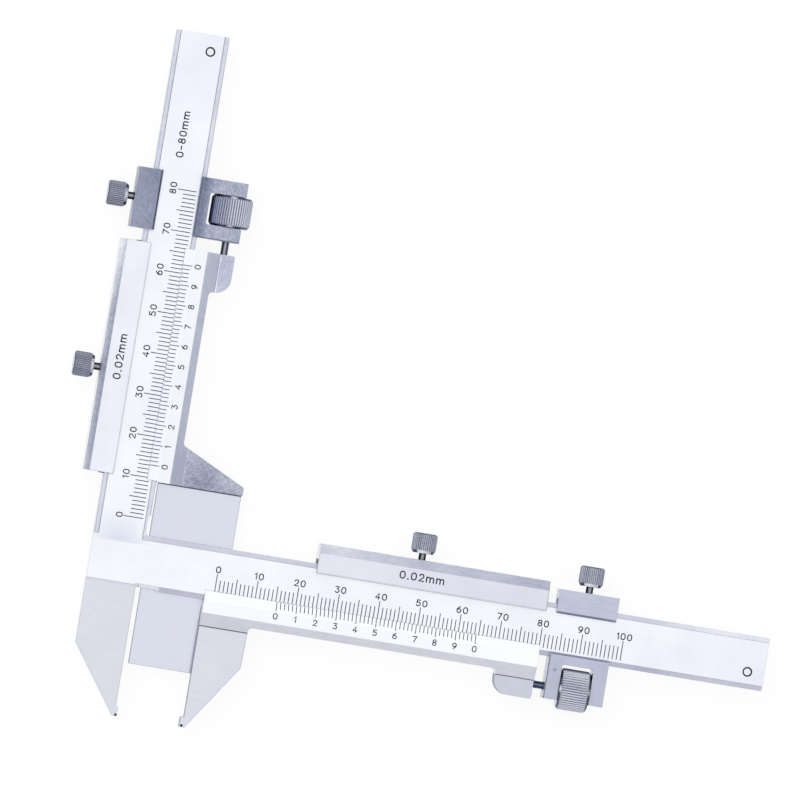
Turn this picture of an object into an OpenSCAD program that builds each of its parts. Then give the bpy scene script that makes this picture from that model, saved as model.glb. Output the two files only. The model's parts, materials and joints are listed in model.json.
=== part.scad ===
// Gear tooth caliper: an L-shaped frame with two graduated beams. One slider carries the movable
// jaw, the other carries the tongue that rests on top of the tooth. Each slider has a lock screw
// and is set finely by a knurled nut held in a clamp further along the beam.
// Millimetres. The chordal beam runs along +X, the height beam along +Y, and Z points out of the
// graduated face. Every piece is drawn from where the beams' centre lines cross, on the frame's
// back face, and then placed so that the middle of the fixed jaw's measuring face is the origin.

/* [Setting] */
// Opening between the jaws
h_reading = 15.33; // [2:0.01:30]
// Distance from the tongue's end down to the line of the jaw tips
v_reading = 13.1; // [2:0.01:30]

/* [Frame] */
// Width of both beams
beam_w = 13; // [12:0.1:15]
// Thickness of both beams
beam_t = 3.5; // [3:0.1:5]
// Chordal beam's end, from the height beam's centre line
h_beam_end = 160; // [150:1:200]
// Height beam's end, from the chordal beam's centre line
v_beam_end = 128.5; // [126:0.5:160]
// Width of the ground strip along each edge
strip_w = 1.2; // [0.6:0.1:2]
// Depth of the ground strips below the graduated face
strip_depth = 0.2; // [0.1:0.05:0.4]
// Depth of the grinding relief on the height beam, above the inner corner
v_relief_depth = 0.5; // [0.2:0.1:0.8]
// Length of that relief
v_relief_len = 5; // [2:0.5:8]
// Depth of the grinding relief on the chordal beam, beside the fixed jaw
h_relief_depth = 0.4; // [0.2:0.1:0.8]
// Length of that relief
h_relief_len = 4.6; // [2:0.2:8]
// Radius in the frame's inner corners
corner_r = 0.8; // [0.3:0.1:1.2]
// Radius of the beams' end corners
end_r = 0.4; // [0.1:0.1:1]

/* [Jaws] */
// Thickness of both jaws
jaw_t = 2.7; // [2:0.1:3]
// Jaw length below the beam
jaw_reach = 31.3; // [28:0.1:45]
// Height of the measuring faces at the tips
tip_h = 2.4; // [1:0.1:4]
// How far the measuring faces stand out of the jaws' inner edges
tip_step = 0.55; // [0.2:0.05:1.2]
// Width of the fixed jaw at its tip
tip_w = 1.1; // [0.8:0.1:2]
// Fixed jaw's inner edge, inside the height beam's edge
jaw_inset = 0.8; // [0.3:0.1:1.5]
// Straight outer side of the fixed jaw, below the beam
fixed_side = 15.1; // [10:0.1:20]
// Width of the movable jaw at the slider
moving_w = 11.9; // [10:0.1:16]
// Straight outer side of the movable jaw, below the beam
moving_side = 15; // [12:0.1:18]
// Movable jaw's inner edge, behind its measuring face
moving_step = 0.87; // [0.4:0.01:1.5]
// Width of the movable jaw at its tip
moving_tip_w = 1.35; // [0.8:0.05:2]
// Radius of the blend from beam to fixed jaw
blend_r = 0.6; // [0.3:0.1:0.7]
// Where that blend starts, above the beam's lower edge
blend_up = 0.9; // [0.6:0.1:2]
// Slope of the small step above each measuring face
tip_slope = 0.1; // [0.05:0.05:0.4]
// Radius above the movable jaw's measuring face
notch_r = 0.3; // [0.1:0.05:0.5]

/* [Sliders] */
// Slider height above the beam's face
slider_front = 1.8; // [1.4:0.1:2.6]
// Thickness of the sliders' and clamps' back plates
back_t = 2.4; // [2.2:0.1:3.5]
// Slider width beyond each edge of the beam
slider_side = 5; // [4.6:0.1:6]
// How far sliders and clamps reach over each edge of the beam
window_lip = 2.3; // [1.7:0.1:3.5]
// Thickness of the vernier's edge beside the scale
vernier_edge_t = 0.3; // [0.2:0.05:0.6]
// How far the bevel with the vernier lines runs beyond the beam's edge
bevel_over = 0.2; // [0.1:0.05:0.6]
// Width of the sloping band from its crest to the shelf of jaw, lug or wing
band_w = 3.15; // [2.6:0.05:4]
// Crest of that band, beyond the beam's edge
band_start = 3.1; // [2.8:0.1:3.5]
// Fall of the band
band_drop = 2.1; // [1:0.1:2.4]
// Length of both sliders along the beam, behind it
slider_len = 56.6; // [45:0.1:60]
// Lock screw, from the slider's end at the clamp
lock_back = 31.6; // [15:0.1:35]
// Width of the bevel on the chordal slider's outer edge
h_rail_bevel = 2.3; // [1:0.1:2.6]
// Width of the bevel on the height slider's outer edge
v_rail_bevel = 1.35; // [1:0.05:2.6]
// Depth of both of these bevels
rail_drop = 1.4; // [0.8:0.1:1.6]
// Small bevel on the sliders' inner edges
window_bevel = 0.2; // [0.1:0.05:0.3]
// Movable jaw's measuring face to the end of the chordal slider
h_slider_reach = 83.3; // [80:0.1:100]
// Tongue's end to the end of the height slider
v_slider_reach = 101.2; // [100:0.1:104]
// Length of the chordal slider's lug
h_lug_len = 9.6; // [8:0.1:14]
// Width of the chordal slider's lug, beyond the beam's edge
h_lug_out = 10.9; // [9.2:0.1:12]
// Length of the height slider's lug
v_lug_len = 9.4; // [8:0.1:14]
// Width of the height slider's lug, beyond the beam's edge
v_lug_out = 9.95; // [9.2:0.05:12]
// Round corner of the lugs
lug_r = 3.6; // [1:0.1:4]
// Radius of the lugs' corners at the clamp
lug_end_r = 0.4; // [0.2:0.1:0.8]
// Step from the band down to the lug
lug_step = 0.25; // [0.1:0.05:0.5]
// Slope of the step from the band down to jaw and lug
step_run = 0.2; // [0.1:0.05:0.4]
// Fillet where jaw, lug and wing meet the slider's side
side_fillet = 1; // [0.4:0.1:1.2]

/* [Tongue] */
// Width of the tongue
tongue_w = 20.4; // [14:0.1:24]
// Thickness of the tongue
tongue_t = 1.8; // [1.6:0.1:2.2]
// Gap between tongue and height beam, seen from the front
tongue_gap = 0.75; // [0.5:0.05:1.5]
// Lower edge of the wing that carries the tongue, below the slider's end
wing_drop = 0.25; // [0.25:0.05:1]
// Height of the wing at its outer end
wing_end_h = 2; // [1.5:0.1:4]
// Height of the wing at the slider
wing_root_h = 9.85; // [8:0.05:13]
// Tongue's hidden upper edge, inside the wing's outline
tongue_margin = 0.5; // [0.3:0.1:1]
// Thread of the tongue's screws
tongue_screw_d = 2; // [1.6:0.1:2.5]
// Head of the tongue's screws
tongue_head_d = 3.6; // [3.2:0.1:4.2]
// Length of the tongue's screws
tongue_screw_len = 4; // [3.2:0.1:4.4]
// First of these screws, from the tongue's inner edge
tongue_screw_in = 2.8; // [2.2:0.1:3.5]
// Last of these screws, from the tongue's outer edge
tongue_screw_out = 5.8; // [5.8:0.1:7]

/* [Clamps] */
// Thickness of each arm of the fork
arm_t = 3.45; // [2.5:0.05:4]
// Clamp height above the beam's face
clamp_front = 1.6; // [1.2:0.1:2.4]
// Clamp width beyond the beam's edge on the lock screw side
clamp_side = 3.6; // [3:0.1:5]
// Clamp width beyond the beam's edge on the nut side
fork_out = 10.2; // [9.4:0.1:12]
// Lip of the clamp over the beam on the nut side
fork_lip = 1.2; // [0.6:0.1:2]
// Gap between the nut and the wall beside the beam
nut_gap = 0.75; // [0.2:0.05:1.2]
// Bevel on the clamps' inner edges
clamp_bevel = 0.5; // [0.2:0.1:0.8]
// Radius in the corners of the nut's window
window_r = 0.5; // [0.2:0.1:1]
// Gap between the chordal slider and its clamp
h_gap = 2.6; // [2.4:0.1:4]
// Gap between the height slider and its clamp
v_gap = 3.15; // [3:0.05:4]

/* [Adjusting nut and stud] */
// Outer diameter of the nuts
nut_d = 10.1; // [8:0.1:11]
// Length of the nuts
nut_len = 7.5; // [6:0.1:10]
// Play of the nuts in their windows, along the stud
nut_play = 0.25; // [0.1:0.05:0.5]
// Length of the nuts' end chamfers
nut_chamfer = 0.7; // [0.3:0.1:1]
// Depth of the nuts' end chamfers
nut_chamfer_depth = 0.5; // [0.45:0.05:0.8]
// Grooves around the nuts
nut_teeth = 48; // [24:1:60]
// Depth of the grooves around the nuts
nut_tooth_depth = 0.25; // [0.1:0.05:0.4]
// Diameter of the adjusting studs
stud_d = 2; // [1.6:0.1:2.5]
// Stud length outside the lug
stud_free = 14.5; // [14:0.1:14.6]
// Stud length inside the lug
stud_seat = 6.5; // [4:0.1:7]
// Stud and nut axis, beyond the beam's edge
stud_out = 7.25; // [7.1:0.05:7.6]
// Stud and nut axis, in front of the beam's back
stud_z = 1.3; // [1:0.1:1.5]
// Pin that holds the stud in the lug
stud_pin_d = 1.2; // [0.8:0.1:1.3]
// Pin's distance from the lug's end
stud_pin_back = 3; // [2:0.1:3.4]

/* [Lock screws and gibs] */
// Thread of the lock screws
lock_d = 2; // [1.6:0.1:2.4]
// Bare neck of the lock screws
neck_d = 1.8; // [1.4:0.1:2]
// Start of the neck, inside the wall that the thread fills
neck_in = 0.3; // [0.1:0.1:0.6]
// Neck seen between head and slider or clamp
neck_free = 1.6; // [0.8:0.1:3]
// Head diameter of the lock screws
head_d = 6; // [5:0.1:7]
// Head length of the lock screws
head_len = 4.9; // [3.5:0.1:6]
// Taper under the head
head_taper = 0.9; // [0.5:0.1:1.2]
// Head diameter at the neck
head_root_d = 5; // [3:0.1:5.5]
// Chamfer on top of the head
head_chamfer = 0.4; // [0.2:0.1:0.6]
// Grooves around the lock screws' heads
head_teeth = 36; // [18:1:48]
// Depth of those grooves
head_tooth_depth = 0.15; // [0.05:0.05:0.3]
// Point of the lock screws
point_d = 1.2; // [0.8:0.1:1.4]
// Length of that point
point_len = 0.5; // [0.3:0.1:0.6]
// Thickness of the gibs
gib_t = 1.1; // [0.9:0.1:1.4]
// Gib beyond each end of its slider
gib_end = 0.2; // [0.1:0.1:0.3]
// Clamp gib inside each end of its clamp
clamp_gib_end = 0.6; // [0.3:0.1:2]

/* [Stop pins] */
// Diameter of the stop pins
stop_d = 1.7; // [1.2:0.1:2.4]
// Countersink around each stop pin
stop_sink_d = 2.4; // [2.1:0.1:3]
// Depth of that countersink
stop_sink = 0.35; // [0.1:0.05:0.6]
// Stop pins, from the beams' ends
stop_back = 4.15; // [3:0.05:6]
// Stop pins, off the beams' centre lines
stop_off = 2.4; // [0:0.1:3.5]
// How far the stop pins stand out of the beams' back
stop_out = 1.3; // [0.8:0.1:2]

/* [Fits] */
// Sliding clearance between beam and sliders, on each face
slide_fit = 0.03; // [0.02:0.01:0.06]
// Clearance on each side of a gib
gib_fit = 0.05; // [0.03:0.01:0.1]
// Running clearance of threads and turning pieces
run_fit = 0.05; // [0.03:0.01:0.08]
// Clearance around the stud in each arm of the fork
arm_fit = 0.15; // [0.1:0.01:0.3]
// Gap between the tongue and the beam and jaw in front of it
tongue_fit = 0.1; // [0.05:0.01:0.2]

/* [Hidden] */
$fn = 48;

// A cut runs this far past the face it opens
eps = 0.2;
// The revolved outline of a knurled piece stands this far outside its grooves' crests
skin = 0.01;
// A length that leaves the part in any direction
far = 300;
// A small ramp where a grinding relief ends
relief_ramp = 0.6;

// Heights, from the beam's back face
edge = beam_w / 2;
slider_top = beam_t + slider_front;
clamp_top = beam_t + clamp_front;
back_face = -back_t - slide_fit;
shelf_z = slider_top - band_drop;
lug_z = shelf_z - lug_step;

// Across the beam, from its centre line
rail_out = -edge - slider_side;
side_out = edge + slider_side;
crest_w = edge + band_start;
shelf_w = crest_w + band_w;
side_crest_z = slider_top - band_drop * (side_out - crest_w) / band_w;
wall_in = edge + slide_fit;
gib_wall = -edge - gib_t - 2 * gib_fit;
stud_w = edge + stud_out;
clamp_out = -edge - clamp_side;
window_half = edge - window_lip;
bevel_end = edge + bevel_over;
vernier_z = beam_t + slide_fit + vernier_edge_t;
wall_top_z = slider_top - (slider_top - vernier_z) * (bevel_end - wall_in) / (bevel_end - window_half);

// Along the chordal beam
jaw_in = edge - jaw_inset;
tip_face = jaw_in + tip_step;
tip_line = -edge - jaw_reach;
h_datum = tip_face + h_reading;
h_end = h_datum + h_slider_reach;
h_back_start = h_end - slider_len;
h_front_start = h_datum + moving_step;
h_clamp_start = h_end + h_gap;

// Along the height beam
v_datum = tip_line + v_reading;
v_end = v_datum + v_slider_reach;
v_start = v_end - slider_len;
wing_line = v_start - wing_drop;
v_clamp_start = v_end + v_gap;

// Clamp and nut
window_len = nut_len + nut_play;
clamp_len = 2 * arm_t + window_len;
tongue_in = edge + tongue_gap;
tongue_out = tongue_in + tongue_w;
tongue_seat = -tongue_fit;
tongue_back = tongue_seat - tongue_t;
lock_z = beam_t / 2;
seat_depth = point_len - gib_fit;
pin_top = stud_z + stud_d / 4;

// Points of a fillet of radius r at corner b, between the lines to a and c
function unit(v) = v / norm(v);
function fillet(a, b, c, r, n = 6) =
    let (u = unit(a - b))
    let (v = unit(c - b))
    let (half = acos(u * v) / 2)
    let (start = u * r / tan(half))
    let (finish = v * r / tan(half))
    let (centre = unit(u + v) * r / sin(half))
    let (from = start - centre)
    let (to = finish - centre)
    let (turn = acos(from * to / (r * r)))
    [for (i = [0:n]) b + centre + (sin(turn * (1 - i / n)) * from + sin(turn * i / n) * to) / sin(turn)];

// An outline from corners [x, y, radius]
function flat2(p) = [p[0], p[1]];
function outline(pts) =
    let (n = len(pts))
    [for (i = [0:n - 1])
        each pts[i][2] == 0
            ? [flat2(pts[i])]
            : fillet(flat2(pts[(i + n - 1) % n]), flat2(pts[i]), flat2(pts[(i + 1) % n]), pts[i][2])];

// A grooved round outline, with one shallow V to each tooth
function grooved(r, depth, teeth) =
    [for (i = [0:2 * teeth - 1])
        let (a = 180 * i / teeth)
        (i % 2 == 0 ? r : r - depth) * [cos(a), sin(a)]];

// Both sliders and clamps are drawn for the height beam: X across it, towards the nut, and Y along it
module on_chordal_beam() {
    rotate([0, 0, -90]) children();
}

// A section across the beam, drawn in X and Z, runs from one place along the beam to another
module along_beam(from, to) {
    translate([0, to, 0]) rotate([90, 0, 0]) linear_extrude(to - from) children();
}

// A revolved piece whose axis runs out of the lock screw side, height measured from the centre line
module out_of_side(u) {
    translate([0, u, lock_z]) rotate([0, -90, 0]) children();
}

module frame_outline() {
    polygon(outline([
        [-edge, v_beam_end, end_r],
        [-edge, -edge - fixed_side, 0],
        [tip_face - tip_w, tip_line, 0],
        [tip_face, tip_line, 0],
        [tip_face, tip_line + tip_h - tip_slope, 0],
        [jaw_in, tip_line + tip_h, 0],
        [jaw_in, h_relief_depth - edge, corner_r / 2],
        [edge + h_relief_len - relief_ramp, h_relief_depth - edge, 0],
        [edge + h_relief_len, -edge, 0],
        [h_beam_end, -edge, end_r],
        [h_beam_end, edge, end_r],
        [edge - v_relief_depth, edge, corner_r],
        [edge - v_relief_depth, edge + v_relief_len - relief_ramp, 0],
        [edge, edge + v_relief_len, 0],
        [edge, v_beam_end, end_r]]));
}

// The ground strips lie along both edges of each beam, outside its graduated land
module ground_strips() {
    land = edge - strip_w;
    translate([0, 0, beam_t - strip_depth]) linear_extrude(eps + strip_depth) {
        translate([-edge - eps, land]) square([strip_w + eps, far]);
        translate([land, land]) square([strip_w + eps, far]);
        translate([land, land]) square([far, strip_w + eps]);
        translate([land, -edge - eps]) square([far, strip_w + eps]);
    }
}

// The jaw is thinner than the beam and blends up into it
module jaw_thinning() {
    top = beam_t + eps;
    line = blend_up - edge;
    width = edge + tip_face + 2 * eps;
    translate([-edge - eps, 0, 0]) rotate([90, 0, 90]) linear_extrude(width) difference() {
        translate([line - far, jaw_t]) square([far, top - jaw_t]);
        difference() {
            translate([line - blend_r, jaw_t - eps]) square([blend_r + eps, blend_r + eps]);
            translate([line - blend_r, jaw_t + blend_r]) circle(blend_r);
        }
    }
}

module at_stops() {
    translate([stop_off, v_beam_end - stop_back, 0]) children();
    translate([h_beam_end - stop_back, -stop_off, 0]) children();
}

module frame() {
    color("gainsboro") difference() {
        linear_extrude(beam_t) frame_outline();
        ground_strips();
        jaw_thinning();
        at_stops() translate([0, 0, -eps]) cylinder(h = beam_t + 2 * eps, d = stop_d + slide_fit);
        at_stops() translate([0, 0, beam_t - stop_sink]) cylinder(h = stop_sink + eps, d = stop_sink_d);
    }
}

module stop_pins() {
    color("silver") at_stops() translate([0, 0, -stop_out])
        cylinder(h = stop_out + beam_t - strip_depth, d = stop_d);
}

// Nut side of a slider's section: vernier bevel, flat and sloping band, down to the height bottom
module vernier_section(bottom) {
    polygon([
        [window_half, beam_t + slide_fit],
        [window_half, vernier_z],
        [bevel_end, slider_top],
        [crest_w, slider_top],
        [side_out, side_crest_z],
        [side_out, bottom],
        [wall_in, bottom],
        [wall_in, beam_t + slide_fit]]);
}

// Whole section of a slider: a channel round the beam, open over the scale
module slider_section(bevel) {
    union() {
        vernier_section(back_face);
        polygon([
            [rail_out, back_face],
            [wall_in + eps, back_face],
            [wall_in + eps, -slide_fit],
            [gib_wall, -slide_fit],
            [gib_wall, beam_t + slide_fit],
            [-window_half, beam_t + slide_fit],
            [-window_half, slider_top - window_bevel],
            [-window_half - window_bevel, slider_top],
            [rail_out + bevel, slider_top],
            [rail_out, slider_top - rail_drop]]);
    }
}

// What stands out of a slider's side, inside the outline given as a child: the band runs down to a shelf
module side_shelf(from, to, bottom, face) {
    intersection() {
        translate([0, 0, bottom - eps]) linear_extrude(slider_top - bottom + 2 * eps) children();
        along_beam(from, to) polygon([
            [wall_in, bottom],
            [wall_in + far, bottom],
            [wall_in + far, face],
            each face < shelf_z ? [[shelf_w + step_run, face]] : [],
            [shelf_w, shelf_z],
            [crest_w, slider_top],
            [bevel_end, slider_top],
            [wall_in, wall_top_z]]);
    }
}

// The lug holds the stud. Its inner end is rounded and blends into the slider's side
module lug(end, length, out) {
    root = end - length - 2 * side_fillet;
    side_shelf(root, end, back_face, lug_z) polygon(outline([
        [wall_in, end, 0],
        [wall_in, root, 0],
        [side_out, root, 0],
        [side_out, end - length, side_fillet],
        [edge + out, end - length, min(lug_r, edge + out - side_out - side_fillet)],
        [edge + out, end, lug_end_r]]));
}

// Hole for the stud and, from the back, the hole for the pin that holds it
module lug_holes(end) {
    translate([stud_w, end + eps, stud_z]) rotate([90, 0, 0])
        cylinder(h = stud_seat + eps, d = stud_d + slide_fit);
    translate([stud_w, end - stud_pin_back, back_face - eps])
        cylinder(h = pin_top - back_face + eps, d = stud_pin_d + slide_fit);
}

// Tapped hole for the lock screw, through the side wall into the gib's channel
module lock_hole(u, face) {
    out_of_side(u) translate([0, 0, -gib_wall - eps])
        cylinder(h = gib_wall - face + 2 * eps, d = lock_d + 2 * run_fit);
}

module slider_body(start, end, bevel, lug_len, lug_out) {
    difference() {
        union() {
            along_beam(start, end) slider_section(bevel);
            lug(end, lug_len, lug_out);
            children();
        }
        lug_holes(end);
        lock_hole(end - lock_back, rail_out);
    }
}

// The movable jaw lies in the frame's own plane, so the tongue can pass behind it
module moving_jaw() {
    tip = edge + jaw_reach;
    far_side = h_front_start + moving_w;
    side_shelf(h_datum, far_side + 2 * side_fillet, 0, jaw_t) polygon(outline([
        [wall_in, far_side + 2 * side_fillet, 0],
        [wall_in, h_front_start, 0],
        [tip - tip_h - tip_slope, h_front_start, notch_r],
        [tip - tip_h, h_datum, 0],
        [tip, h_datum, 0],
        [tip, h_datum + moving_tip_w, 0],
        [edge + moving_side, far_side - relief_ramp / 2, side_fillet],
        [side_out, far_side, side_fillet],
        [side_out, far_side + 2 * side_fillet, 0]]));
}

module h_slider() {
    color("gainsboro") on_chordal_beam()
        slider_body(h_back_start, h_end, h_rail_bevel, h_lug_len, h_lug_out) {
            along_beam(h_front_start, h_back_start + eps) vernier_section(0);
            moving_jaw();
        }
}

// Height of the wing at a place across it: level at the slider, then falling to its outer end
function wing_h(w) =
    wing_end_h + (wing_root_h - wing_end_h) * min(1, (tongue_out - w) / (tongue_out - side_out));

// The wing carries the tongue from the front and grows out of the slider's nut side
module wing() {
    top = wing_line + wing_root_h;
    side_shelf(wing_line, top + 2 * side_fillet, tongue_seat, shelf_z) polygon(outline([
        [wall_in, wing_line, 0],
        [tongue_out, wing_line, 0],
        [tongue_out, wing_line + wing_end_h, lug_end_r],
        [side_out, top, side_fillet],
        [side_out, top + 2 * side_fillet, 0],
        [wall_in, top + 2 * side_fillet, 0]]));
}

// A row of screws at half the height of the tongue behind the wing
function tongue_screw_places() =
    let (first = tongue_in + tongue_screw_in)
    let (last = tongue_out - tongue_screw_out)
    [for (w = [first, (first + last) / 2, last])
        [w, wing_line + (wing_h(w) - tongue_margin) / 2]];

// Screws go in from the back: the head sits flush in the tongue and the thread in the wing
module tongue_screw(gap) {
    head_h = (tongue_head_d - tongue_screw_d) / 2;
    translate([0, 0, tongue_back]) cylinder(h = head_h, d1 = tongue_head_d + gap, d2 = tongue_screw_d + gap);
    translate([0, 0, tongue_back]) cylinder(h = tongue_screw_len + gap, d = tongue_screw_d + gap);
}

module v_slider() {
    color("gainsboro") difference() {
        slider_body(v_start, v_end, v_rail_bevel, v_lug_len, v_lug_out) wing();
        translate([tongue_in - run_fit, wing_line - eps, back_face - eps])
            cube([far, wing_root_h + eps, tongue_seat - back_face + eps]);
        for (p = tongue_screw_places()) translate([p[0], p[1], 0]) tongue_screw(slide_fit);
    }
}

module tongue() {
    top = wing_line - tongue_margin;
    color("lightgray") difference() {
        translate([0, 0, tongue_back]) linear_extrude(tongue_t) polygon([
            [tongue_in, v_datum],
            [tongue_out, v_datum],
            [tongue_out, top + wing_end_h],
            [side_out, top + wing_root_h],
            [tongue_in, top + wing_root_h]]);
        for (p = tongue_screw_places()) translate([p[0], p[1], 0]) tongue_screw(slide_fit);
    }
}

module tongue_screws() {
    color("dimgray") for (p = tongue_screw_places()) translate([p[0], p[1], 0]) tongue_screw(0);
}

// A gib fills the channel beside the beam. Its outer face has a seat for the lock screw's point
module gib(from, to, u) {
    color("peru") difference() {
        translate([gib_wall + gib_fit, from, gib_fit]) cube([gib_t, to - from, beam_t - 2 * gib_fit]);
        out_of_side(u) translate([0, 0, -gib_wall - gib_fit - seat_depth])
            cylinder(h = seat_depth + eps, d = point_d + 2 * run_fit);
    }
}

// Knurled lock screw for a wall whose outer face is at face
module lock_screw(u, face) {
    point_end = -gib_wall - seat_depth;
    shoulder = -gib_wall + gib_fit;
    neck = -face - neck_in;
    head = -face + neck_free;
    top = head + head_len;
    color("darkgray") out_of_side(u) union() {
        translate([0, 0, point_end]) cylinder(h = shoulder - point_end, d = point_d);
        translate([0, 0, shoulder]) cylinder(h = neck - shoulder, d = lock_d);
        translate([0, 0, neck]) cylinder(h = head - neck, d = neck_d);
        intersection() {
            translate([0, 0, head]) linear_extrude(head_len)
                polygon(grooved(head_d / 2, head_tooth_depth, head_teeth));
            rotate_extrude() polygon([
                [0, head],
                [head_root_d / 2, head],
                [head_d / 2 + skin, head + head_taper],
                [head_d / 2 + skin, top - head_chamfer],
                [head_d / 2 - head_chamfer, top],
                [0, top]]);
        }
    }
}

// The stud is threaded into the lug and pinned there. The nut runs on its free end
module stud(end) {
    color("dimgray") difference() {
        translate([stud_w, end + stud_free, stud_z]) rotate([90, 0, 0])
            cylinder(h = stud_free + stud_seat - run_fit, d = stud_d);
        translate([stud_w, end - stud_pin_back, back_face])
            cylinder(h = pin_top - back_face, d = stud_pin_d + slide_fit);
    }
}

module stud_pin(end) {
    color("silver") translate([stud_w, end - stud_pin_back, back_face])
        cylinder(h = pin_top - back_face - run_fit, d = stud_pin_d);
}

// Clamp: a channel round the beam with a fork beside it that traps the nut
module clamp(start) {
    end = start + clamp_len;
    window = stud_w - nut_d / 2 - nut_gap;
    fork = edge + fork_out;
    lip = edge - fork_lip;
    color("lightslategray") difference() {
        along_beam(start, end) polygon([
            [clamp_out, back_face],
            [fork, back_face],
            [fork, clamp_top],
            [lip + clamp_bevel, clamp_top],
            [lip, clamp_top - clamp_bevel],
            [lip, beam_t + slide_fit],
            [wall_in, beam_t + slide_fit],
            [wall_in, -slide_fit],
            [gib_wall, -slide_fit],
            [gib_wall, beam_t + slide_fit],
            [-window_half, beam_t + slide_fit],
            [-window_half, clamp_top - clamp_bevel],
            [-window_half - clamp_bevel, clamp_top],
            [clamp_out, clamp_top]]);
        translate([0, 0, back_face - eps]) linear_extrude(clamp_top - back_face + 2 * eps) polygon(outline([
            [window, start + arm_t, window_r],
            [fork + eps, start + arm_t, 0],
            [fork + eps, end - arm_t, 0],
            [window, end - arm_t, window_r]]));
        translate([stud_w, end + eps, stud_z]) rotate([90, 0, 0])
            cylinder(h = clamp_len + 2 * eps, d = stud_d + 2 * arm_fit);
        lock_hole(start + clamp_len / 2, clamp_out);
    }
}

// Knurled nut in the fork's window
module nut(start) {
    low = start + arm_t + nut_play / 2;
    color("darkgray") translate([stud_w, low + nut_len, stud_z]) rotate([90, 0, 0]) difference() {
        intersection() {
            linear_extrude(nut_len) polygon(grooved(nut_d / 2, nut_tooth_depth, nut_teeth));
            rotate_extrude() polygon([
                [0, 0],
                [nut_d / 2 - nut_chamfer_depth, 0],
                [nut_d / 2 + skin, nut_chamfer],
                [nut_d / 2 + skin, nut_len - nut_chamfer],
                [nut_d / 2 - nut_chamfer_depth, nut_len],
                [0, nut_len]]);
        }
        translate([0, 0, -eps]) cylinder(h = nut_len + 2 * eps, d = stud_d + 2 * run_fit);
    }
}

module clamp_gib(start) {
    gib(start + clamp_gib_end, start + clamp_len - clamp_gib_end, start + clamp_len / 2);
}

module h_gib() {
    on_chordal_beam() gib(h_back_start - gib_end, h_end + gib_end, h_end - lock_back);
}

module h_lock_screw() {
    on_chordal_beam() lock_screw(h_end - lock_back, rail_out);
}

module h_stud() {
    on_chordal_beam() stud(h_end);
}

module h_stud_pin() {
    on_chordal_beam() stud_pin(h_end);
}

module h_clamp() {
    on_chordal_beam() clamp(h_clamp_start);
}

module h_clamp_gib() {
    on_chordal_beam() clamp_gib(h_clamp_start);
}

module h_clamp_screw() {
    on_chordal_beam() lock_screw(h_clamp_start + clamp_len / 2, clamp_out);
}

module h_nut() {
    on_chordal_beam() nut(h_clamp_start);
}

// Puts the middle of the fixed jaw's measuring face at the origin
module placed() {
    translate([-tip_face, -tip_line - (tip_h - tip_slope) / 2, -jaw_t / 2]) children();
}

placed() frame();
placed() stop_pins();
placed() tongue();
placed() tongue_screws();
placed() h_slider();
placed() h_gib();
placed() h_lock_screw();
placed() h_stud();
placed() h_stud_pin();
placed() h_clamp();
placed() h_clamp_gib();
placed() h_clamp_screw();
placed() h_nut();
placed() v_slider();
placed() gib(v_start - gib_end, v_end + gib_end, v_end - lock_back);  // v_gib
placed() lock_screw(v_end - lock_back, rail_out);  // v_lock_screw
placed() stud(v_end);  // v_stud
placed() stud_pin(v_end);  // v_stud_pin
placed() clamp(v_clamp_start);  // v_clamp
placed() clamp_gib(v_clamp_start);  // v_clamp_gib
placed() lock_screw(v_clamp_start + clamp_len / 2, clamp_out);  // v_clamp_screw
placed() nut(v_clamp_start);  // v_nut
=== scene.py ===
"""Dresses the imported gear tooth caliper: finishes, graduations, engraved numbers and threads.

Sizes are millimetres in the drawing frame of the instrument, whose origin is where the beams'
centre lines cross on the frame's back face. Finished meshes are metres in the row frame.
"""

import json
import logging
import math
from dataclasses import dataclass, field, replace
from enum import Enum
from typing import ClassVar

import bpy
import numpy as np
from mathutils import Matrix, Vector

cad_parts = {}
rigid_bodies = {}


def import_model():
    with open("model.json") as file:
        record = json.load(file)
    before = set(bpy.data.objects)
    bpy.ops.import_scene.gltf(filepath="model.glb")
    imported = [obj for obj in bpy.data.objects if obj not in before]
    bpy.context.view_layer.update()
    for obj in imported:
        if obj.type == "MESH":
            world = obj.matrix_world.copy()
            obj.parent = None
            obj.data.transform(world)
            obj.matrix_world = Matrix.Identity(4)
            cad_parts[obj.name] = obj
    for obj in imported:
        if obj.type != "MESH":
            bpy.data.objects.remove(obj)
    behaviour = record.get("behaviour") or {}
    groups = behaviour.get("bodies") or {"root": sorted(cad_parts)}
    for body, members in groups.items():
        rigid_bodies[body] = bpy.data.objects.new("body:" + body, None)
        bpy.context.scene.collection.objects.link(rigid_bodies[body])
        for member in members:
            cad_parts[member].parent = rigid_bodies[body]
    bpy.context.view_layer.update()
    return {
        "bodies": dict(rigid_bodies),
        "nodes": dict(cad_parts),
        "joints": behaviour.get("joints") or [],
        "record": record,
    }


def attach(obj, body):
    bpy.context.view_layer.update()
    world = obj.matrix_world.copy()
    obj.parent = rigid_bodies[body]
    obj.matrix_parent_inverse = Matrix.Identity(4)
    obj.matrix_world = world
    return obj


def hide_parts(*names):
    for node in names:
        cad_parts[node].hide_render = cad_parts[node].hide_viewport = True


log = logging.getLogger("gear_tooth_caliper")

Tree = bpy.types.NodeTree
Socket = bpy.types.NodeSocket

MM = 0.001
# Middle of the fixed jaw's measuring face, which is the row's origin, in the drawing frame
ROW_ORIGIN = Vector((6.25, -36.65, 1.35))
# Engraved marks stand this far out of the metal, so that they never fight with it
MARK_LIFT = 0.006
MARK_DEPTH = 0.012
# Heights of the faces that carry the scales, above the frame's back
LAND_Z = 3.5
SLIDER_Z = 5.3
# Places of the two colours among a Mix node's inputs, and of the colour among its outputs
COLOUR_A, COLOUR_B = 6, 7
COLOUR_OUT = 2
# Cosines between a face's normal and an axis: it looks along the axis, or aslant to it, and
# one below STEEP with Z belongs to a side
SQUARE = 0.9
ASLANT = 0.3
STEEP = 0.6
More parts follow.
